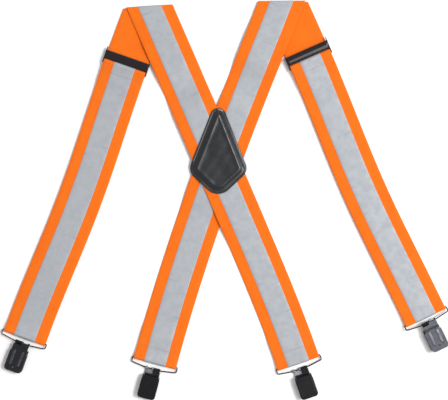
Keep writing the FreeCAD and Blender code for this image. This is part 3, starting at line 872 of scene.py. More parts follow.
class PlanLine:
    """A smooth line in plan by distance along it, running straight on beyond both ends."""

    SAMPLES = 400
    OVERRUN = 0.2

    def __init__(self, knots: list[Pair], headings: list[float], bow: float = 0.0,
                 bowed: Pair = (0.0, 1.0)) -> None:
        """Sample the line.

        Args:
            knots: points that it goes through.
            headings: its direction at each, in radians.
            bow: sideways bulge to its left.
            bowed: the part of its length that bulges, as shares.
        """
        pieces = []
        for k in range(len(knots) - 1):
            start, end = np.array(knots[k]), np.array(knots[k + 1])
            length = np.linalg.norm(end - start)
            leave = length * np.array((math.cos(headings[k]), math.sin(headings[k])))
            arrive = length * np.array((math.cos(headings[k + 1]), math.sin(headings[k + 1])))
            t = np.linspace(0, 1, self.SAMPLES)[:, None]
            pieces.append((2 * t**3 - 3 * t**2 + 1) * start + (t**3 - 2 * t**2 + t) * leave
                          + (3 * t**2 - 2 * t**3) * end + (t**3 - t**2) * arrive)
        points = np.vstack([pieces[0]] + [p[1:] for p in pieces[1:]])
        share = np.linspace(0, 1, len(points))
        inside = np.clip((share - bowed[0]) / (bowed[1] - bowed[0]), 0, 1)
        chord = points[-1] - points[0]
        left = np.array((-chord[1], chord[0])) / np.linalg.norm(chord)
        points = points + bow * (np.sin(math.pi * inside) ** 2)[:, None] * left
        steps = np.linalg.norm(np.diff(points, axis=0), axis=1)
        self.length = float(steps.sum())
        ways = [np.array((math.cos(a), math.sin(a))) for a in (headings[0], headings[-1])]
        self.along = np.concatenate(([-self.OVERRUN], [0], np.cumsum(steps), [self.length + self.OVERRUN]))
        self.points = np.vstack([points[0] - self.OVERRUN * ways[0], points,
                                 points[-1] + self.OVERRUN * ways[1]])

    def at(self, distance: np.ndarray) -> np.ndarray:
        """Points at distances along the line."""
        return np.stack([np.interp(distance, self.along, self.points[:, k]) for k in (0, 1)], axis=-1)

    def left(self, distance: np.ndarray) -> np.ndarray:
        """Unit vectors to the line's left at distances along it."""
        step = 4 * MM
        way = self.at(distance + step) - self.at(distance - step)
        way = way / np.linalg.norm(way, axis=-1, keepdims=True)
        return np.stack([-way[..., 1], way[..., 0]], axis=-1)

    def off(self, places: np.ndarray) -> np.ndarray:
        """How far places in plan are from the line."""
        stride = 6
        start, end = self.points[:-1:stride], self.points[stride::stride]
        size = min(len(start), len(end))
        start, end = start[:size], end[:size]
        way = end - start
        t = ((places[:, None] - start) * way).sum(-1) / np.maximum((way * way).sum(-1), 1e-12)
        nearest = start + np.clip(t, 0, 1)[..., None] * way
        return np.linalg.norm(places[:, None] - nearest, axis=-1).min(axis=1)


class Route:
    """The middle line of a strip as distance along its plan line and height, with its outer normal."""

    SLANT_ENDS = 70 * MM

    def __init__(self, plan: PlanLine, skew: float = 0.0) -> None:
        """Start an empty route.

        Args:
            plan: the line in plan.
            skew: slope of the fold line at distance 0, as distance along for each metre across.
        """
        self.plan = plan
        self.skew = skew
        self.places = np.zeros((0, 2))

    def run(self, points: list[Pair], soft: float = 6 * MM, step: float = 1.5 * MM) -> "Route":
        """Add a lie over the given points, its corners eased.

        Args:
            points: distance along and height of the strip's middle.
            soft: how far each side of a corner is eased.
            step: spacing of the sections.

        Returns:
            The route.
        """
        line = np.array(points)
        sign = 1.0 if line[-1, 0] > line[0, 0] else -1.0
        count = max(4, int(abs(line[-1, 0] - line[0, 0]) / step))
        s = np.linspace(line[0, 0], line[-1, 0], count)
        window = np.linspace(-soft, soft, 21)
        reach = np.minimum(np.minimum(np.abs(s - s[0]), np.abs(s - s[-1])) / soft, 1.0)
        samples = s[:, None] + window[None] * reach[:, None]
        z = np.interp(sign * samples, sign * line[:, 0], line[:, 1]).mean(axis=1)
        self.places = np.vstack([self.places, np.stack([s, z], axis=1)])
        return self

    def bend(self, centre: Pair, radius: float, start: float, sweep: float = -math.pi) -> "Route":
        """Add a bend round a bar or a fold, clockwise by default.

        Args:
            centre: distance along and height of the bend's centre.
            radius: to the strip's middle.
            start: angle where it begins.
            sweep: how far it turns.

        Returns:
            The route.
        """
        angles = start + np.linspace(0, 1, 14)[1:-1] * sweep
        arc = np.stack([centre[0] + radius * np.cos(angles), centre[1] + radius * np.sin(angles)], axis=1)
        self.places = np.vstack([self.places, arc])
        return self

    def normals(self) -> np.ndarray:
        """Unit outer normals in the upright plane, to the left of travel."""
        way = np.gradient(self.places, axis=0)
        way = way / np.linalg.norm(way, axis=1, keepdims=True)
        return np.stack([-way[:, 1], way[:, 0]], axis=1)

    def travel(self) -> np.ndarray:
        """Distance travelled along the strip at each section."""
        steps = np.linalg.norm(np.diff(self.places, axis=0), axis=1)
        return np.concatenate(([0], np.cumsum(steps)))

    def slant(self, across: np.ndarray) -> np.ndarray:
        """How far each point is moved along by the fold's slant, which fades out down the strap."""
        return self.skew * across[None] * (1 - eased(self.places[:, :1] / self.SLANT_ENDS))

    def place(self, across: np.ndarray, rise: np.ndarray) -> np.ndarray:
        """Points of the strip in the row frame.

        Args:
            across: offset across the strip, one for each point of the section.
            rise: offset along the outer normal, one for each point of the section.

        Returns:
            An array of sections by section points by three.
        """
        normal = self.normals()
        s = self.places[:, :1] + rise[None] * normal[:, :1] + self.slant(across)
        z = self.places[:, 1:] + rise[None] * normal[:, 1:]
        plan = self.plan.at(s) + across[None, :, None] * self.plan.left(s)
        return np.concatenate([plan, z[..., None]], axis=-1)


def section(width: float, low: float, high: float, edge: float, count: int) -> Ring:
    """A strip's section with rounded edges, as a closed ring.

    Args:
        width: overall width.
        low: inner face.
        high: outer face.
        edge: edge radius.
        count: points across each face.

    Returns:
        Offsets across and offsets outwards.
    """
    half, middle, rise = width / 2 - edge, (low + high) / 2, (high - low) / 2
    flat = np.linspace(-half, half, count)
    turn = np.radians([60, 25, 0, -25, -60])
    across = np.concatenate([flat, half + edge * np.cos(turn), flat[::-1], -half - edge * np.cos(turn)])
    up = np.concatenate([np.full(count, rise), rise * np.sin(turn),
                         np.full(count, -rise), -rise * np.sin(turn)])
    return across, middle + up


def strip(name: str, route: Route, ring: Ring, material: bpy.types.Material) -> bpy.types.Object:
    """Sweep a section along a route, with the cloth's own coordinates.

    Args:
        name: the piece's name.
        route: the strip's middle line.
        ring: the section's offsets across and outwards.
        material: its finish.

    Returns:
        A closed mesh object with a map named cloth, in metres along and across.
    """
    across, rise = ring
    points = route.place(across, rise)
    rows, size = points.shape[:2]
    faces = ring_faces(rows, size)
    faces.append(tuple(range(size)))
    faces.append(tuple((rows - 1) * size + m for m in range(size)))
    made = make_object(name, points.reshape(-1, 3), faces, material)
    along = (route.travel()[:, None] + route.slant(across)).ravel()
    wide = np.tile(across, rows)
    face_outwards(made)
    mesh = made.data
    corners = np.zeros(len(mesh.loops), np.int32)
    mesh.loops.foreach_get("vertex_index", corners)
    cloth = mesh.uv_layers.new(name="cloth")
    places = np.stack([along[corners], wide[corners]], axis=1).astype(np.float32)
    cloth.data.foreach_set("uv", places.ravel())
    return made


def heading(start: Pair, end: Pair) -> float:
    """Direction from one place in plan to another, in radians."""
    return math.atan2(end[1] - start[1], end[0] - start[0])


class StrapSet:
    """One side's straps: back strap, front strap and the return layer, with tape and stitching.

    The constants are distances along a strap. The back strap lies on the front strap up to LAPPED, passes
    over the adjuster, comes down, rises before the crossing and again onto its own tail. The front strap
    has a hump over the adjuster and stops before the wire. The return strap begins with its inner tail,
    comes down beyond the adjuster and rises to the wire.
    """

    BOWED = (0.52, 0.99)
    LAPPED = 28 * MM
    OVER_ADJUSTER = (44 * MM, 76 * MM)
    BACK_DOWN = 96 * MM
    BEFORE_CROSSING = 72 * MM
    BACK_TAIL = (43 * MM, 30 * MM, 9 * MM)
    UNDER_WIRE = (22 * MM, 21.6 * MM)
    FRONT_HUMP = (13 * MM, 4.4 * MM, 4.4 * MM, 11.0 * MM)
    FRONT_STOP = 23 * MM
    INNER_TAIL = (24 * MM, 12.5 * MM)
    RETURN_DOWN = (18 * MM, 26 * MM, 40 * MM)
    RETURN_RISE = 12 * MM

    def __init__(self, plan: StrapPlan, shift: Vector, looks: Finishes, effects: Effects,
                 sewing: StitchMaker) -> None:
        """Work out the lines that the straps follow.

        Args:
            plan: where this side runs.
            shift: from the plan's own origin to the row frame.
            looks: the finishes.
            effects: the shared shader groups.
            sewing: makes the stitches.
        """
        self.plan, self.looks, self.effects, self.sewing = plan, looks, effects, sewing
        self.side = plan.side.value
        fold, start, crossing, back_end, front_end = (
            (x + shift.x, y + shift.y) for x, y in (
                (plan.fold[0] + plan.spread, plan.fold[1]), (plan.fold[0] - plan.spread, plan.fold[1]),
                plan.crossing, plan.back_end, plan.front_end))
        back_wire, back_way = self._wire(back_end, plan.back_turn)
        upper, lower = heading(fold, crossing), heading(crossing, back_end)
        self.back_line = PlanLine([fold, crossing, back_wire], [upper, (upper + lower) / 2, back_way])
        self.back_skew = 1 / math.tan(math.radians(plan.fold_turn) - upper)
        front_wire, front_way = self._wire(front_end, plan.front_turn)
        leg = heading(start, front_end)
        middle = (start[0] + plan.adjuster_drop * math.cos(leg),
                  start[1] + plan.adjuster_drop * math.sin(leg))
        adjuster_way = math.radians(plan.adjuster_turn - 90)
        self.front_line = PlanLine([start, middle, front_wire], [leg, adjuster_way, front_way], plan.bow,
                                   self.BOWED)
        self.front_skew = 1 / math.tan(math.radians(plan.fold_turn) - leg)
        half, sunk = CLOTH.web / 2, 0.02 * MM
        self.web_ring = section(CLOTH.web_width, -half, half, 0.45 * MM, 13)
        self.tape_ring = section(CLOTH.tape_width, half - sunk, half + CLOTH.tape, 0.12 * MM, 9)
        self.under_ring = section(CLOTH.tape_width, -half - CLOTH.tape, sunk - half, 0.12 * MM, 9)

    def _wire(self, end: Pair, turn: float) -> tuple[Pair, float]:
        """The wire's axis at a strap's end, and the strap's heading there."""
        way = math.radians(turn - 90)
        return (end[0] - CLOTH.wire_z * math.cos(way), end[1] - CLOTH.wire_z * math.sin(way)), way

    def back_route(self) -> Route:
        """From under the shoulder fold, over the crosspatch, to the tail behind the back wire."""
        c, half, far = CLOTH, CLOTH.web / 2, self.back_line.length
        fold, crossing = self.back_line.at(np.array(0.0)), self.back_line.points[PlanLine.SAMPLES]
        first = math.hypot(fold[0] - crossing[0], fold[1] - crossing[1])
        middle = c.front_z + c.web + c.gap / 2
        radius = c.gap / 2 + half
        up, down = first - self.BEFORE_CROSSING, first + self.plan.reach
        onto, over_tail, past_tail = self.BACK_TAIL
        levels = [(0, c.upper_z), (self.LAPPED, c.upper_z), *((s, c.over_hump) for s in self.OVER_ADJUSTER),
                  (self.BACK_DOWN, 0), (up - self.plan.ramp, 0), (up, self.plan.over),
                  (down, self.plan.over), (down + self.plan.ramp, 0), (far - onto, 0),
                  (far - over_tail, c.tail_top), (far - past_tail, c.tail_top), (far, c.wire_z + c.wrap)]
        route = Route(self.back_line, self.back_skew)
        route.places = np.array([(1.0 * MM, middle - radius), (0.4 * MM, middle - radius)])
        route.bend((0, middle), radius, -math.pi / 2)
        route.run([(s, z + half) for s, z in levels])
        route.bend((far, c.wire_z), c.wrap + half, math.pi / 2)
        tail = c.wire_z - c.wrap - half
        return route.run([(far, tail), (far - self.UNDER_WIRE[0], tail)])

    def front_route(self) -> Route:
        """From the fold, over the adjuster's flat bar, to where the return layer's wrap begins."""
        c, drop, far = CLOTH, self.plan.adjuster_drop, self.front_line.length
        start, up, down, end = self.FRONT_HUMP
        levels = [(0, 0), (drop - start, 0), (drop - up, c.hump), (drop + down, c.hump), (drop + end, 0),
                  (far - self.FRONT_STOP, 0)]
        route = Route(self.front_line, self.front_skew)
        return route.run([(s, z + c.front_z + c.web / 2) for s, z in levels], soft=3 * MM)

    def return_route(self) -> Route:
        """From the tail at the adjuster's round bar, down the strap, to the tail round the front wire."""
        c, drop, far = CLOTH, self.plan.adjuster_drop, self.front_line.length
        half, low = c.web / 2, c.upper_z + 0.1 * MM
        bar, height = drop + c.return_bar[0], c.return_bar[1]
        under = height - c.wrap - half
        route = Route(self.front_line)
        tail_z = 2.4 * MM + half
        route.run([*((drop + s, tail_z) for s in self.INNER_TAIL), (bar, under)], soft=3 * MM)
        route.bend((bar, height), c.wrap + half, -math.pi / 2)
        high, held, laid = self.RETURN_DOWN
        levels = [(bar, height + c.wrap), (drop + high, 4.0 * MM), (drop + held, 4.0 * MM),
                  (drop + laid, low), (far - self.RETURN_RISE, low), (far, c.wire_z + c.wrap)]
        route.run([(s, z + half) for s, z in levels])
        route.bend((far, c.wire_z), c.wrap + half, math.pi / 2)
        tail = c.wire_z - c.wrap - half
        return route.run([(far, tail), (far - self.UNDER_WIRE[1], tail)])

    def seams(self, route: Route, name: str, seed: int) -> bpy.types.Object:
        """The two rows of stitches that hold the tape on, left out where the strap turns under.

        Args:
            route: the strap's route.
            name: the piece's name.
            seed: for the stitches' small turns.

        Returns:
            The stitches.
        """
        lines = []
        sewn, lowest = slice(3, len(route.places) - 4), 1.6 * MM
        on_top = np.array([CLOTH.web / 2 + CLOTH.tape + 0.03 * MM])
        edge = CLOTH.tape_width / 2 - 1.3 * MM
        for across in (-edge, edge):
            top = route.place(np.array([across]), on_top)[sewn, 0]
            base = route.place(np.array([across]), np.array([0.0]))[sewn, 0]
            clear = top[:, 2] > lowest
            lines.append((top[clear], (top - base)[clear]))
        thread = self.looks.tape_thread.material(self.effects)
        return self.sewing.sew(name, lines, stitches((2.9, 2.3, 0.36, 0.14), 0.06, seed, thread))

    def bar(self, route: Route, distance: float, name: str, seed: int) -> bpy.types.Object:
        """A row of strong stitches across a strap, through its tail.

        Args:
            route: the strap's route, whose top face is sewn.
            distance: where along the plan line.
            name: the piece's name.
            seed: for the stitches' small turns.

        Returns:
            The stitches.
        """
        top_face = route.normals()[:, 1] > 0.7
        near = int(np.argmin(np.where(top_face, np.abs(route.places[:, 0] - distance), 9.0)))
        across = np.linspace(-CLOTH.web_width / 2 + 2.5 * MM, CLOTH.web_width / 2 - 2.5 * MM, 60)
        on_tape = np.abs(across) < CLOTH.tape_width / 2
        rise = CLOTH.web / 2 + np.where(on_tape, CLOTH.tape, 0) + 0.05 * MM
        top = route.place(across, rise)[near]
        normals = np.tile((0.0, 0.0, 1.0), (len(across), 1))
        thread = self.looks.bar_thread.material(self.effects)
        return self.sewing.sew(name, [(top, normals)], stitches((2.7, 2.3, 0.5, 0.34), 0.08, seed, thread))

    def build(self) -> None:
        """Make this side's straps, fix the back strap's pieces and the return bar stitch to their bodies,
        and bake the front and return pieces where they lie.
        """
        webbing = self.looks.webbing.material(self.effects)
        tape = self.looks.tape.material(self.effects)
        side, drop, far = self.side, self.plan.adjuster_drop, self.front_line.length
        back, front, loop = self.back_route(), self.front_route(), self.return_route()
        back_web = strip(side + "_back_webbing", back, self.web_ring, webbing)
        back_tape = strip(side + "_back_silver", back, self.tape_ring, tape)
        back_seam = self.seams(back, side + "_back_seams", 11)
        back_bar = self.bar(back, self.back_line.length - 15 * MM, side + "_back_bar_stitch", 12)
        front_web = strip(side + "_front_webbing", front, self.web_ring, webbing)
        front_tape = strip(side + "_front_silver", front, self.under_ring, tape)
        loop_web = strip(side + "_return_webbing", loop, self.web_ring, webbing)
        loop_tape = strip(side + "_return_silver", loop, self.tape_ring, tape)
        loop_seam = self.seams(loop, side + "_return_seams", 13)
        loop_bar = self.bar(loop, drop + 19 * MM, side + "_return_bar_stitch", 14)
        for piece, node, slot in (
                (back_web, "_back_strap", "webbing"), (back_tape, "_back_tape", "reflective_tape"),
                (front_web, "_front_strap", "webbing"), (front_tape, "_front_tape", "reflective_tape"),
                (loop_web, "_return_strap", "webbing"), (loop_tape, "_return_tape", "reflective_tape"),
                (back_bar, "_back_tack", "strap_thread"), (loop_bar, "_return_tack", "strap_thread")):
            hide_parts(side + node)
        for piece in (back_web, back_tape, back_seam, back_bar):
            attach(piece, "straps")
        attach(loop_bar, side + "_adjuster")
        ends = [self.point(s) for s in (drop + 18 * MM, far - 24 * MM, drop + 44 * MM)]
        for piece in (front_web, front_tape):
            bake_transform(piece)
        for piece in (loop_web, loop_tape, loop_seam):
            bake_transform(piece)
        for piece, route, held, on in (
                (back_web, back, "folded", ["crosspatch_back_leather"]), (front_web, front, "laid", []),
                (loop_web, loop, "folded", [side + "_front_webbing"])):
            length = float(route.travel()[-1])
            log.info("%s: flat 50 mm x %.0f mm", piece.name, length / MM)

    def point(self, distance: float) -> tuple[float, float, float]:
        """A point on the front strap's line, at the level of the layers."""
        x, y = self.front_line.at(np.array(distance))
        return (float(x), float(y), 2.0 * MM)


# ------------------------------------------------------------------ crosspatch


@dataclass
class Crosspatch:
    """Teardrop leather patch over the crossing: a sewn rim round a raised, padded panel."""

    lines: dict[Side, PlanLine]
    shift: Vector
    looks: Finishes
    effects: Effects
    sewing: StitchMaker
    middle_x: float = -6.7 * MM
    circles: tuple = ((0.0, 96.1 * MM, 9.0 * MM), (19.3 * MM, 36.5 * MM, 13.0 * MM),
                      (0.0, 24.0 * MM, 17.0 * MM))
    thick: float = 1.4 * MM
    rise: float = 1.5 * MM
    slope: Pair = (3.5 * MM, 9.2 * MM)
    ridge: float = 0.5 * MM
    ridge_wide: float = 2.4 * MM
    crown: float = 0.2 * MM
    pinch: float = 0.3 * MM
    pinch_wide: float = 0.7 * MM
    ridge_in: float = 8.2 * MM
    seam: float = 2.5 * MM
    levels: tuple = (5.3 * MM, 3.4 * MM, 1.5 * MM)
    fall: float = 0.42
    spine: Pair = (30 * MM, 94 * MM)
    edge_points: int = 150
    outline: np.ndarray = field(init=False)

    def __post_init__(self) -> None:
        """Draw the right half of the outline, from the top to the bottom."""
        turn = np.radians(np.linspace(90, -90, 1441))
        normal = np.stack([np.cos(turn), np.sin(turn)], axis=1)
        centre = np.array([c[:2] for c in self.circles])
        radius = np.array([c[2] for c in self.circles])
        which = (normal @ centre.T + radius).argmax(axis=1)
        raw = centre[which] + radius[which, None] * normal
        raw[0, 0] = raw[-1, 0] = 0.0
        steps = np.concatenate(([0], np.cumsum(np.linalg.norm(np.diff(raw, axis=0), axis=1))))
        even = np.linspace(0, steps[-1], self.edge_points)
        self.outline = np.stack([np.interp(even, steps, raw[:, k]) for k in (0, 1)], axis=1)

    def inset(self, places: np.ndarray) -> np.ndarray:
        """Distance of places, in the patch's own plan, from its edge."""
        folded = np.stack([np.abs(places[:, 0]), places[:, 1]], axis=1)
        start, way = self.outline[:-1], np.diff(self.outline, axis=0)
        t = ((folded[:, None] - start) * way).sum(-1) / (way * way).sum(-1)
        nearest = start + np.clip(t, 0, 1)[..., None] * way
        return np.linalg.norm(folded[:, None] - nearest, axis=-1).min(axis=1)

    def to_frame(self, places: np.ndarray) -> np.ndarray:
        """Places in the patch's own plan as places in the row frame's plan."""
        return places + np.array((self.middle_x + self.shift.x, self.shift.y))

    def lie(self, places: np.ndarray) -> np.ndarray:
        """Height of the leather's underside: over the straps, and drawn down beside them."""
        plan = self.to_frame(places)
        levels = [np.full(len(places), self.levels[2])]
        for side, level in ((Side.LEFT, self.levels[0]), (Side.RIGHT, self.levels[1])):
            beside = np.maximum(self.lines[side].off(plan) - CLOTH.web_width / 2, 0)
            levels.append(level - self.fall * beside)
        stack, soft = np.array(levels), 0.25 * MM
        top = stack.max(axis=0)
        return top + soft * np.log(np.exp((stack - top) / soft).sum(axis=0)) * 0.5

    def face(self, places: np.ndarray) -> np.ndarray:
        """Height of the leather's upper face."""
        d = self.inset(places)
        body = self.half(d) + self.thick / 2
        panel = self.rise * eased((d - self.slope[0]) / (self.slope[1] - self.slope[0]))
        crown = (self.ridge * np.exp(-(((d - self.ridge_in) / self.ridge_wide) ** 2))
                 + self.crown * eased((d - 12 * MM) / (16 * MM)))
        pinch = -self.pinch * np.exp(-(((d - self.seam) / self.pinch_wide) ** 2))
        x, y = places[:, 0] / MM, places[:, 1] / MM
        loose = 0.10 * np.sin(0.21 * x + 0.9) * np.sin(0.13 * y + 0.4) + 0.05 * np.sin(0.47 * x - 0.31 * y)
        return self.lie(places) + body + panel + crown + pinch + loose * MM * eased(d / (9 * MM))

    def half(self, d: np.ndarray) -> np.ndarray:
        """Half the leather's thickness at a distance from its cut edge."""
        near = np.clip(d / (0.6 * MM), 0, 1)
        return self.thick / 2 * np.sqrt(np.maximum(1 - (1 - near) ** 2, 0))

    def build(self) -> None:
        """Make the front leather, its seam, and fix them."""
        count = self.edge_points
        aim = np.stack([np.zeros(count), np.clip(self.outline[:, 1], *self.spine)], axis=1)
        reach = np.linalg.norm(aim - self.outline, axis=1)
        rounded, banded = 0.6, 10.5
        steps = np.concatenate([np.linspace(0, rounded, 5)[:-1], np.linspace(rounded, banded, 26)]) * MM
        deep = np.linspace(0, 1, 12)[1:]
        shares = [np.minimum(step / reach, 0.995) for step in steps]
        shares += [shares[len(steps) - 1] + (1 - shares[len(steps) - 1]) * share for share in deep]
        right = [self.outline + share[:, None] * (aim - self.outline) for share in shares]
        rings = []
        for ring in right:
            mirrored = ring[1:-1][::-1] * np.array((-1.0, 1.0))
            rings.append(np.vstack([ring, mirrored]))
        size = len(rings[0])
        plan = np.vstack(rings)
        upper = self.face(plan)
        lower = self.lie(plan) + self.thick / 2 - self.half(self.inset(plan))
        flat = self.to_frame(plan)
        top = np.column_stack([flat, upper])
        bottom = np.column_stack([flat, lower])[size:]
        faces = []
        for k in range(len(rings) - 1):
            for m in range(size):
                n = (m + 1) % size
                faces.append((k * size + m, k * size + n, (k + 1) * size + n, (k + 1) * size + m))
                a, b = [(k - 1) * size + q + len(top) if k else q for q in (m, n)]
                faces.append((a, b, k * size + n + len(top), k * size + m + len(top)))
        leather = self.looks.leather.material(self.effects)
        front = make_object("crosspatch_front", np.vstack([top, bottom]), faces, leather)
        face_outwards(front, 0.002 * MM)
        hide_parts("crosspatch_front_leather", "crosspatch_padding")
        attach(front, "straps")
        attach(self.rim_seam(), "straps")
        log.info("crosspatch: %d faces", len(front.data.polygons))

    def rim_seam(self) -> bpy.types.Object:
        """The stitches round the rim, lying in their groove."""
        way = np.gradient(self.outline, axis=0)
        inward = np.stack([way[:, 1], -way[:, 0]], axis=1)
        inward /= np.linalg.norm(inward, axis=1, keepdims=True)
        towards = np.sign(((np.array((0.0, 50 * MM)) - self.outline) * inward).sum(axis=1, keepdims=True))
        line = self.outline + self.seam * towards * inward
        line[0, 0] = line[-1, 0] = 0.0
        whole = np.vstack([line, line[1:-1][::-1] * np.array((-1.0, 1.0)), line[:1]])
        top = np.column_stack([self.to_frame(whole), self.face(whole) + 0.1 * MM])
        thread = self.looks.patch_thread.material(self.effects)
        up = np.tile((0.0, 0.0, 1.0), (len(top), 1))
        sewn = self.sewing.sew("crosspatch_seam", [(top, up)],
                               stitches((3.1, 2.4, 0.5, 0.36), 0.07, 21, thread))
        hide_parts("crosspatch_stitching")
        return sewn


# ------------------------------------------------------------------ hardware


def clip_name(side: Side, end: End) -> str:
    """What the pieces and joints of a clip are named after."""
    return f"{side.value}_{end.value}"


@dataclass
class WireLoop:
    """Bent wire loop: straight through the webbing and the clip's knuckles, slanted between them."""

    side: Side
    end: End
    wire: float = 0.7 * MM
    half: float = 26.4 * MM
    corner: float = 1.9 * MM
    neck: float = 9.6 * MM
    shallow: float = 6.2 * MM

    def build(self, maker: WireMaker, material: bpy.types.Material) -> None:
        """Bend the loop in the place that its two pivots give."""
        name = clip_name(self.side, self.end)
        pivot = joint(name + "_loop_swing")
        origin, across = Vector(pivot["pos_m"]), Vector(pivot["axis"])
        reach = Vector(joint(name + "_clip_tilt")["pos_m"]) - origin
        depth, way = reach.length, reach.normalized()
        flat = [(0, self.half), (self.shallow, self.half), (depth, self.neck),
                (depth, -self.neck), (self.shallow, -self.half), (0, -self.half)]
        corners = [origin + s * way + y * across for s, y in flat]
        loop = maker.bend(name + "_loop_wire", corners, self.corner, self.wire, material)
        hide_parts(name + "_wire_loop")
        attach(loop, name + "_loop")


@dataclass
class HighlitRibs:
    """The two pressed ribs on the outside of a clip's base plate, in a lighter nickel than the plate:
    painted highlight for the light that the ribs catch.
    """

    side: Side
    end: End
    apart: float = 4.8 * MM
    half: float = 1.55 * MM
    run: Pair = (9.6 * MM, 26.8 * MM)
    base: float = 2.53 * MM
    proud: float = 0.3 * MM
    rings: int = 7
    points: int = 36

    def build(self, material: bpy.types.Material) -> None:
        """Dome both ribs over their round-ended outline."""
        name = clip_name(self.side, self.end)
        pivot = joint(name + "_clip_tilt")
        origin, across = Vector(pivot["pos_m"]), Vector(pivot["axis"])
        plate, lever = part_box(name + "_base_plate"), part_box(name + "_lever")
        below = -1.0 if plate[0][2] < lever[0][2] else 1.0
        reach = origin - Vector(joint(name + "_loop_swing")["pos_m"])
        way = Vector((reach.x, reach.y, 0.0)).normalized()
        points, faces = [], []
        for side in (-1, 1):
            first = len(points)
            for ring in range(self.rings + 1):
                share = math.sin(ring / self.rings * math.pi / 2)
                lift = self.base + self.proud * min(1.0, 1.6 * math.cos(ring / self.rings * math.pi / 2))
                for k in range(self.points):
                    turn = 2 * math.pi * k / self.points
                    end = self.run[1] - self.half if math.cos(turn) > 0 else self.run[0] + self.half
                    s = end + share * self.half * math.cos(turn)
                    y = side * self.apart + share * self.half * math.sin(turn)
                    points.append(origin + s * way + y * across + Vector((0, 0, below * lift)))
            faces += ring_faces(self.rings + 1, self.points, first)
            last = first + self.rings * self.points
            faces.append(tuple(range(last, last + self.points)))
            faces.append(tuple(range(first, first + self.points)))
        ribs = make_object(name + "_highlit_ribs", points, faces, material)
        face_outwards(ribs)
        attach(ribs, name + "_clip")


@dataclass
class GripPlate:
    """The adjuster's hinged cover: level above, sloping below its ridge, with a cam nose underneath."""

    side: Side
    half: float = 25.25 * MM
    pin: float = -3.6 * MM
    rows: int = 22
    outline: tuple[Pair, ...] = (
        (-4.85, 6.2), (-4.7, 6.8), (-4.1, 7.12), (-3.2, 7.2), (-0.3, 7.24), (0.3, 7.16),
        (4.75, 6.2), (5.1, 5.95), (5.05, 5.65), (4.5, 5.6), (3.6, 5.95), (0.2, 6.5),
        (-2.4, 6.3), (-2.4, 5.2), (-2.8, 3.5), (-3.6, 3.45), (-4.7, 5.0))

    def build(self, material: bpy.types.Material) -> None:
        """Make the plate across the strap, with softened edges."""
        name = self.side.value + "_adjuster_grip"
        pivot = joint(self.side.value + "_grip_hinge")
        across = Vector(pivot["axis"])
        way = Vector((-across.y, across.x, 0.0))
        origin = Vector((pivot["pos_m"][0], pivot["pos_m"][1], 0.0)) - self.pin * way
        points = []
        for k in range(self.rows + 1):
            y = (2 * k / self.rows - 1) * self.half
            points += [origin + s * MM * way + y * across + Vector((0, 0, z * MM)) for s, z in self.outline]
        size = len(self.outline)
        faces = [tuple(range(size)), tuple(self.rows * size + m for m in range(size))]
        faces += ring_faces(self.rows + 1, size)
        plate = make_object(name + "_plate", points, faces, material)
        face_outwards(plate)
        bevel = plate.modifiers.new("eased", "BEVEL")
        bevel.width, bevel.segments, bevel.limit_method = 0.18 * MM, 2, "ANGLE"
        bevel.angle_limit = math.radians(24)
        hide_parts(name)
        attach(plate, name)


@dataclass
class Hardware:
    """Clips, pins, adjuster frames and back leather: the CAD's own shapes in their finishes."""

    looks: Finishes
    effects: Effects

    def finish_of(self, node: str) -> Finish:
        """The finish of a CAD node, by what it is."""
        plate = self.looks.nickel if "_back_" in node else self.looks.plate
        table = {"base_plate": plate, "jaw_plate": self.looks.clip, "lever": self.looks.clip,
                 "_pin": self.looks.pin, "lower_grip": self.looks.pad, "upper_grip": self.looks.pad,
                 "adjuster_frame": self.looks.adjuster, "back_leather": self.looks.leather}
        return next(finish for ending, finish in table.items() if node.endswith(ending))

    def dress(self) -> None:
        """Give each CAD node that stays in view its finish."""
        for name, node in frame["nodes"].items():
            if node.hide_render:
                continue
            material = self.finish_of(name).material(self.effects)
            node.data.materials.clear()
            node.data.materials.append(material)
            log.info("%s: %s", name, material.name)


# ------------------------------------------------------------------ studio


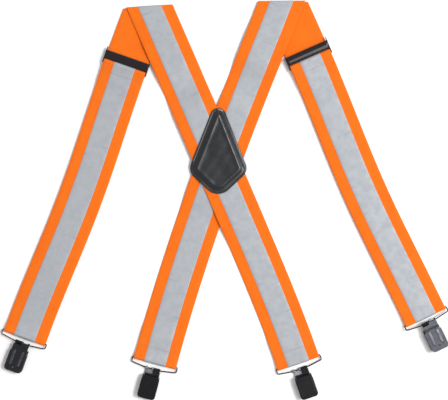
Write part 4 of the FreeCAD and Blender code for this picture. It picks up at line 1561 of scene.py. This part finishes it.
@dataclass
class Studio:
    """White paper, an even sky with lights from the right, and a camera looking straight down."""

    looks: Finishes
    effects: Effects
    ground: float = 512.96 * MM
    middle_z: float = 3 * MM
    centre: Pair = (-0.85 * MM, -0.2 * MM)
    lens: float = 100.0
    sensor: float = 36.0
    sky: float = 0.54
    key: float = 1.35

    def camera(self) -> None:
        """A long lens high above the straps."""
        data = bpy.data.cameras.new("camera")
        data.lens, data.sensor_width = self.lens, self.sensor
        data.clip_end = 20.0
        eye = bpy.data.objects.new("camera", data)
        height = self.ground * self.lens / self.sensor
        eye.location = (self.centre[0], self.centre[1], height + self.middle_z)
        bpy.context.scene.collection.objects.link(eye)
        bpy.context.scene.camera = eye

    def floor(self) -> None:
        """A wide sheet of white paper under everything."""
        half = 6.0
        corners = np.array([(-half, -half, 0), (half, -half, 0), (half, half, 0), (-half, half, 0)])
        sheet = make_object("paper", corners, [(0, 1, 2, 3)], self.looks.paper.material(self.effects))

    def lights(self) -> None:
        """An even sky, three soft boxes and a key light."""
        world = bpy.data.worlds.new("sky")
        bpy.context.scene.world = world
        world.use_nodes = True
        backdrop = world.node_tree.nodes["Background"]
        Bench(world.node_tree).feed(backdrop, Color=(1.0, 0.992, 0.985, 1.0), Strength=self.sky)
        boxes = (("low_box", (0.56, -0.24, 1.3), (0.36, 0.5), 2.6),
                 ("tall_box", (1.0, 0.2, 1.25), (0.5, 1.1), 9.0),
                 ("top_box", (0.2, 1.6, 1.4), (0.6, 0.6), 2.0))
        for name, place, size, power in boxes:
            data = bpy.data.lights.new(name, "AREA")
            data.shape, data.energy = "RECTANGLE", power
            data.size, data.size_y = size
            self.hang(bpy.data.objects.new(name, data), place)
        key = bpy.data.lights.new("key", "SUN")
        key.energy, key.angle = self.key, math.radians(11)
        self.hang(bpy.data.objects.new("key", key), (0.8, 0.22, 1.3))
        bpy.context.scene.view_settings.view_transform = "Standard"

    def hang(self, lamp: bpy.types.Object, place: tuple[float, float, float]) -> None:
        """Put a lamp in its place, shining at the middle."""
        lamp.location = place
        lamp.rotation_euler = (-Vector(place)).to_track_quat("-Z", "Y").to_euler()
        bpy.context.scene.collection.objects.link(lamp)

    def build(self) -> None:
        """Set up camera, floor and lights."""
        self.camera()
        self.floor()
        self.lights()


def main() -> None:
    """Build the braces in order."""
    logging.basicConfig(level=logging.INFO, format="%(name)s: %(message)s")
    looks, effects, sewing = Finishes(), Effects(), StitchMaker()
    Studio(looks, effects).build()
    shift = frame_shift()
    straps = {side: StrapSet(plan, shift, looks, effects, sewing) for side, plan in PLANS.items()}
    for strap in straps.values():
        strap.build()
    wires = WireMaker()
    for side in Side:
        GripPlate(side).build(looks.adjuster.material(effects))
        for end in End:
            WireLoop(side, end).build(wires, looks.wire.material(effects))
            HighlitRibs(side, end).build(looks.rubbed.material(effects))
    back_lines = {side: strap.back_line for side, strap in straps.items()}
    Crosspatch(back_lines, shift, looks, effects, sewing).build()
    Hardware(looks, effects).dress()


if __name__ == "__main__":
    main()
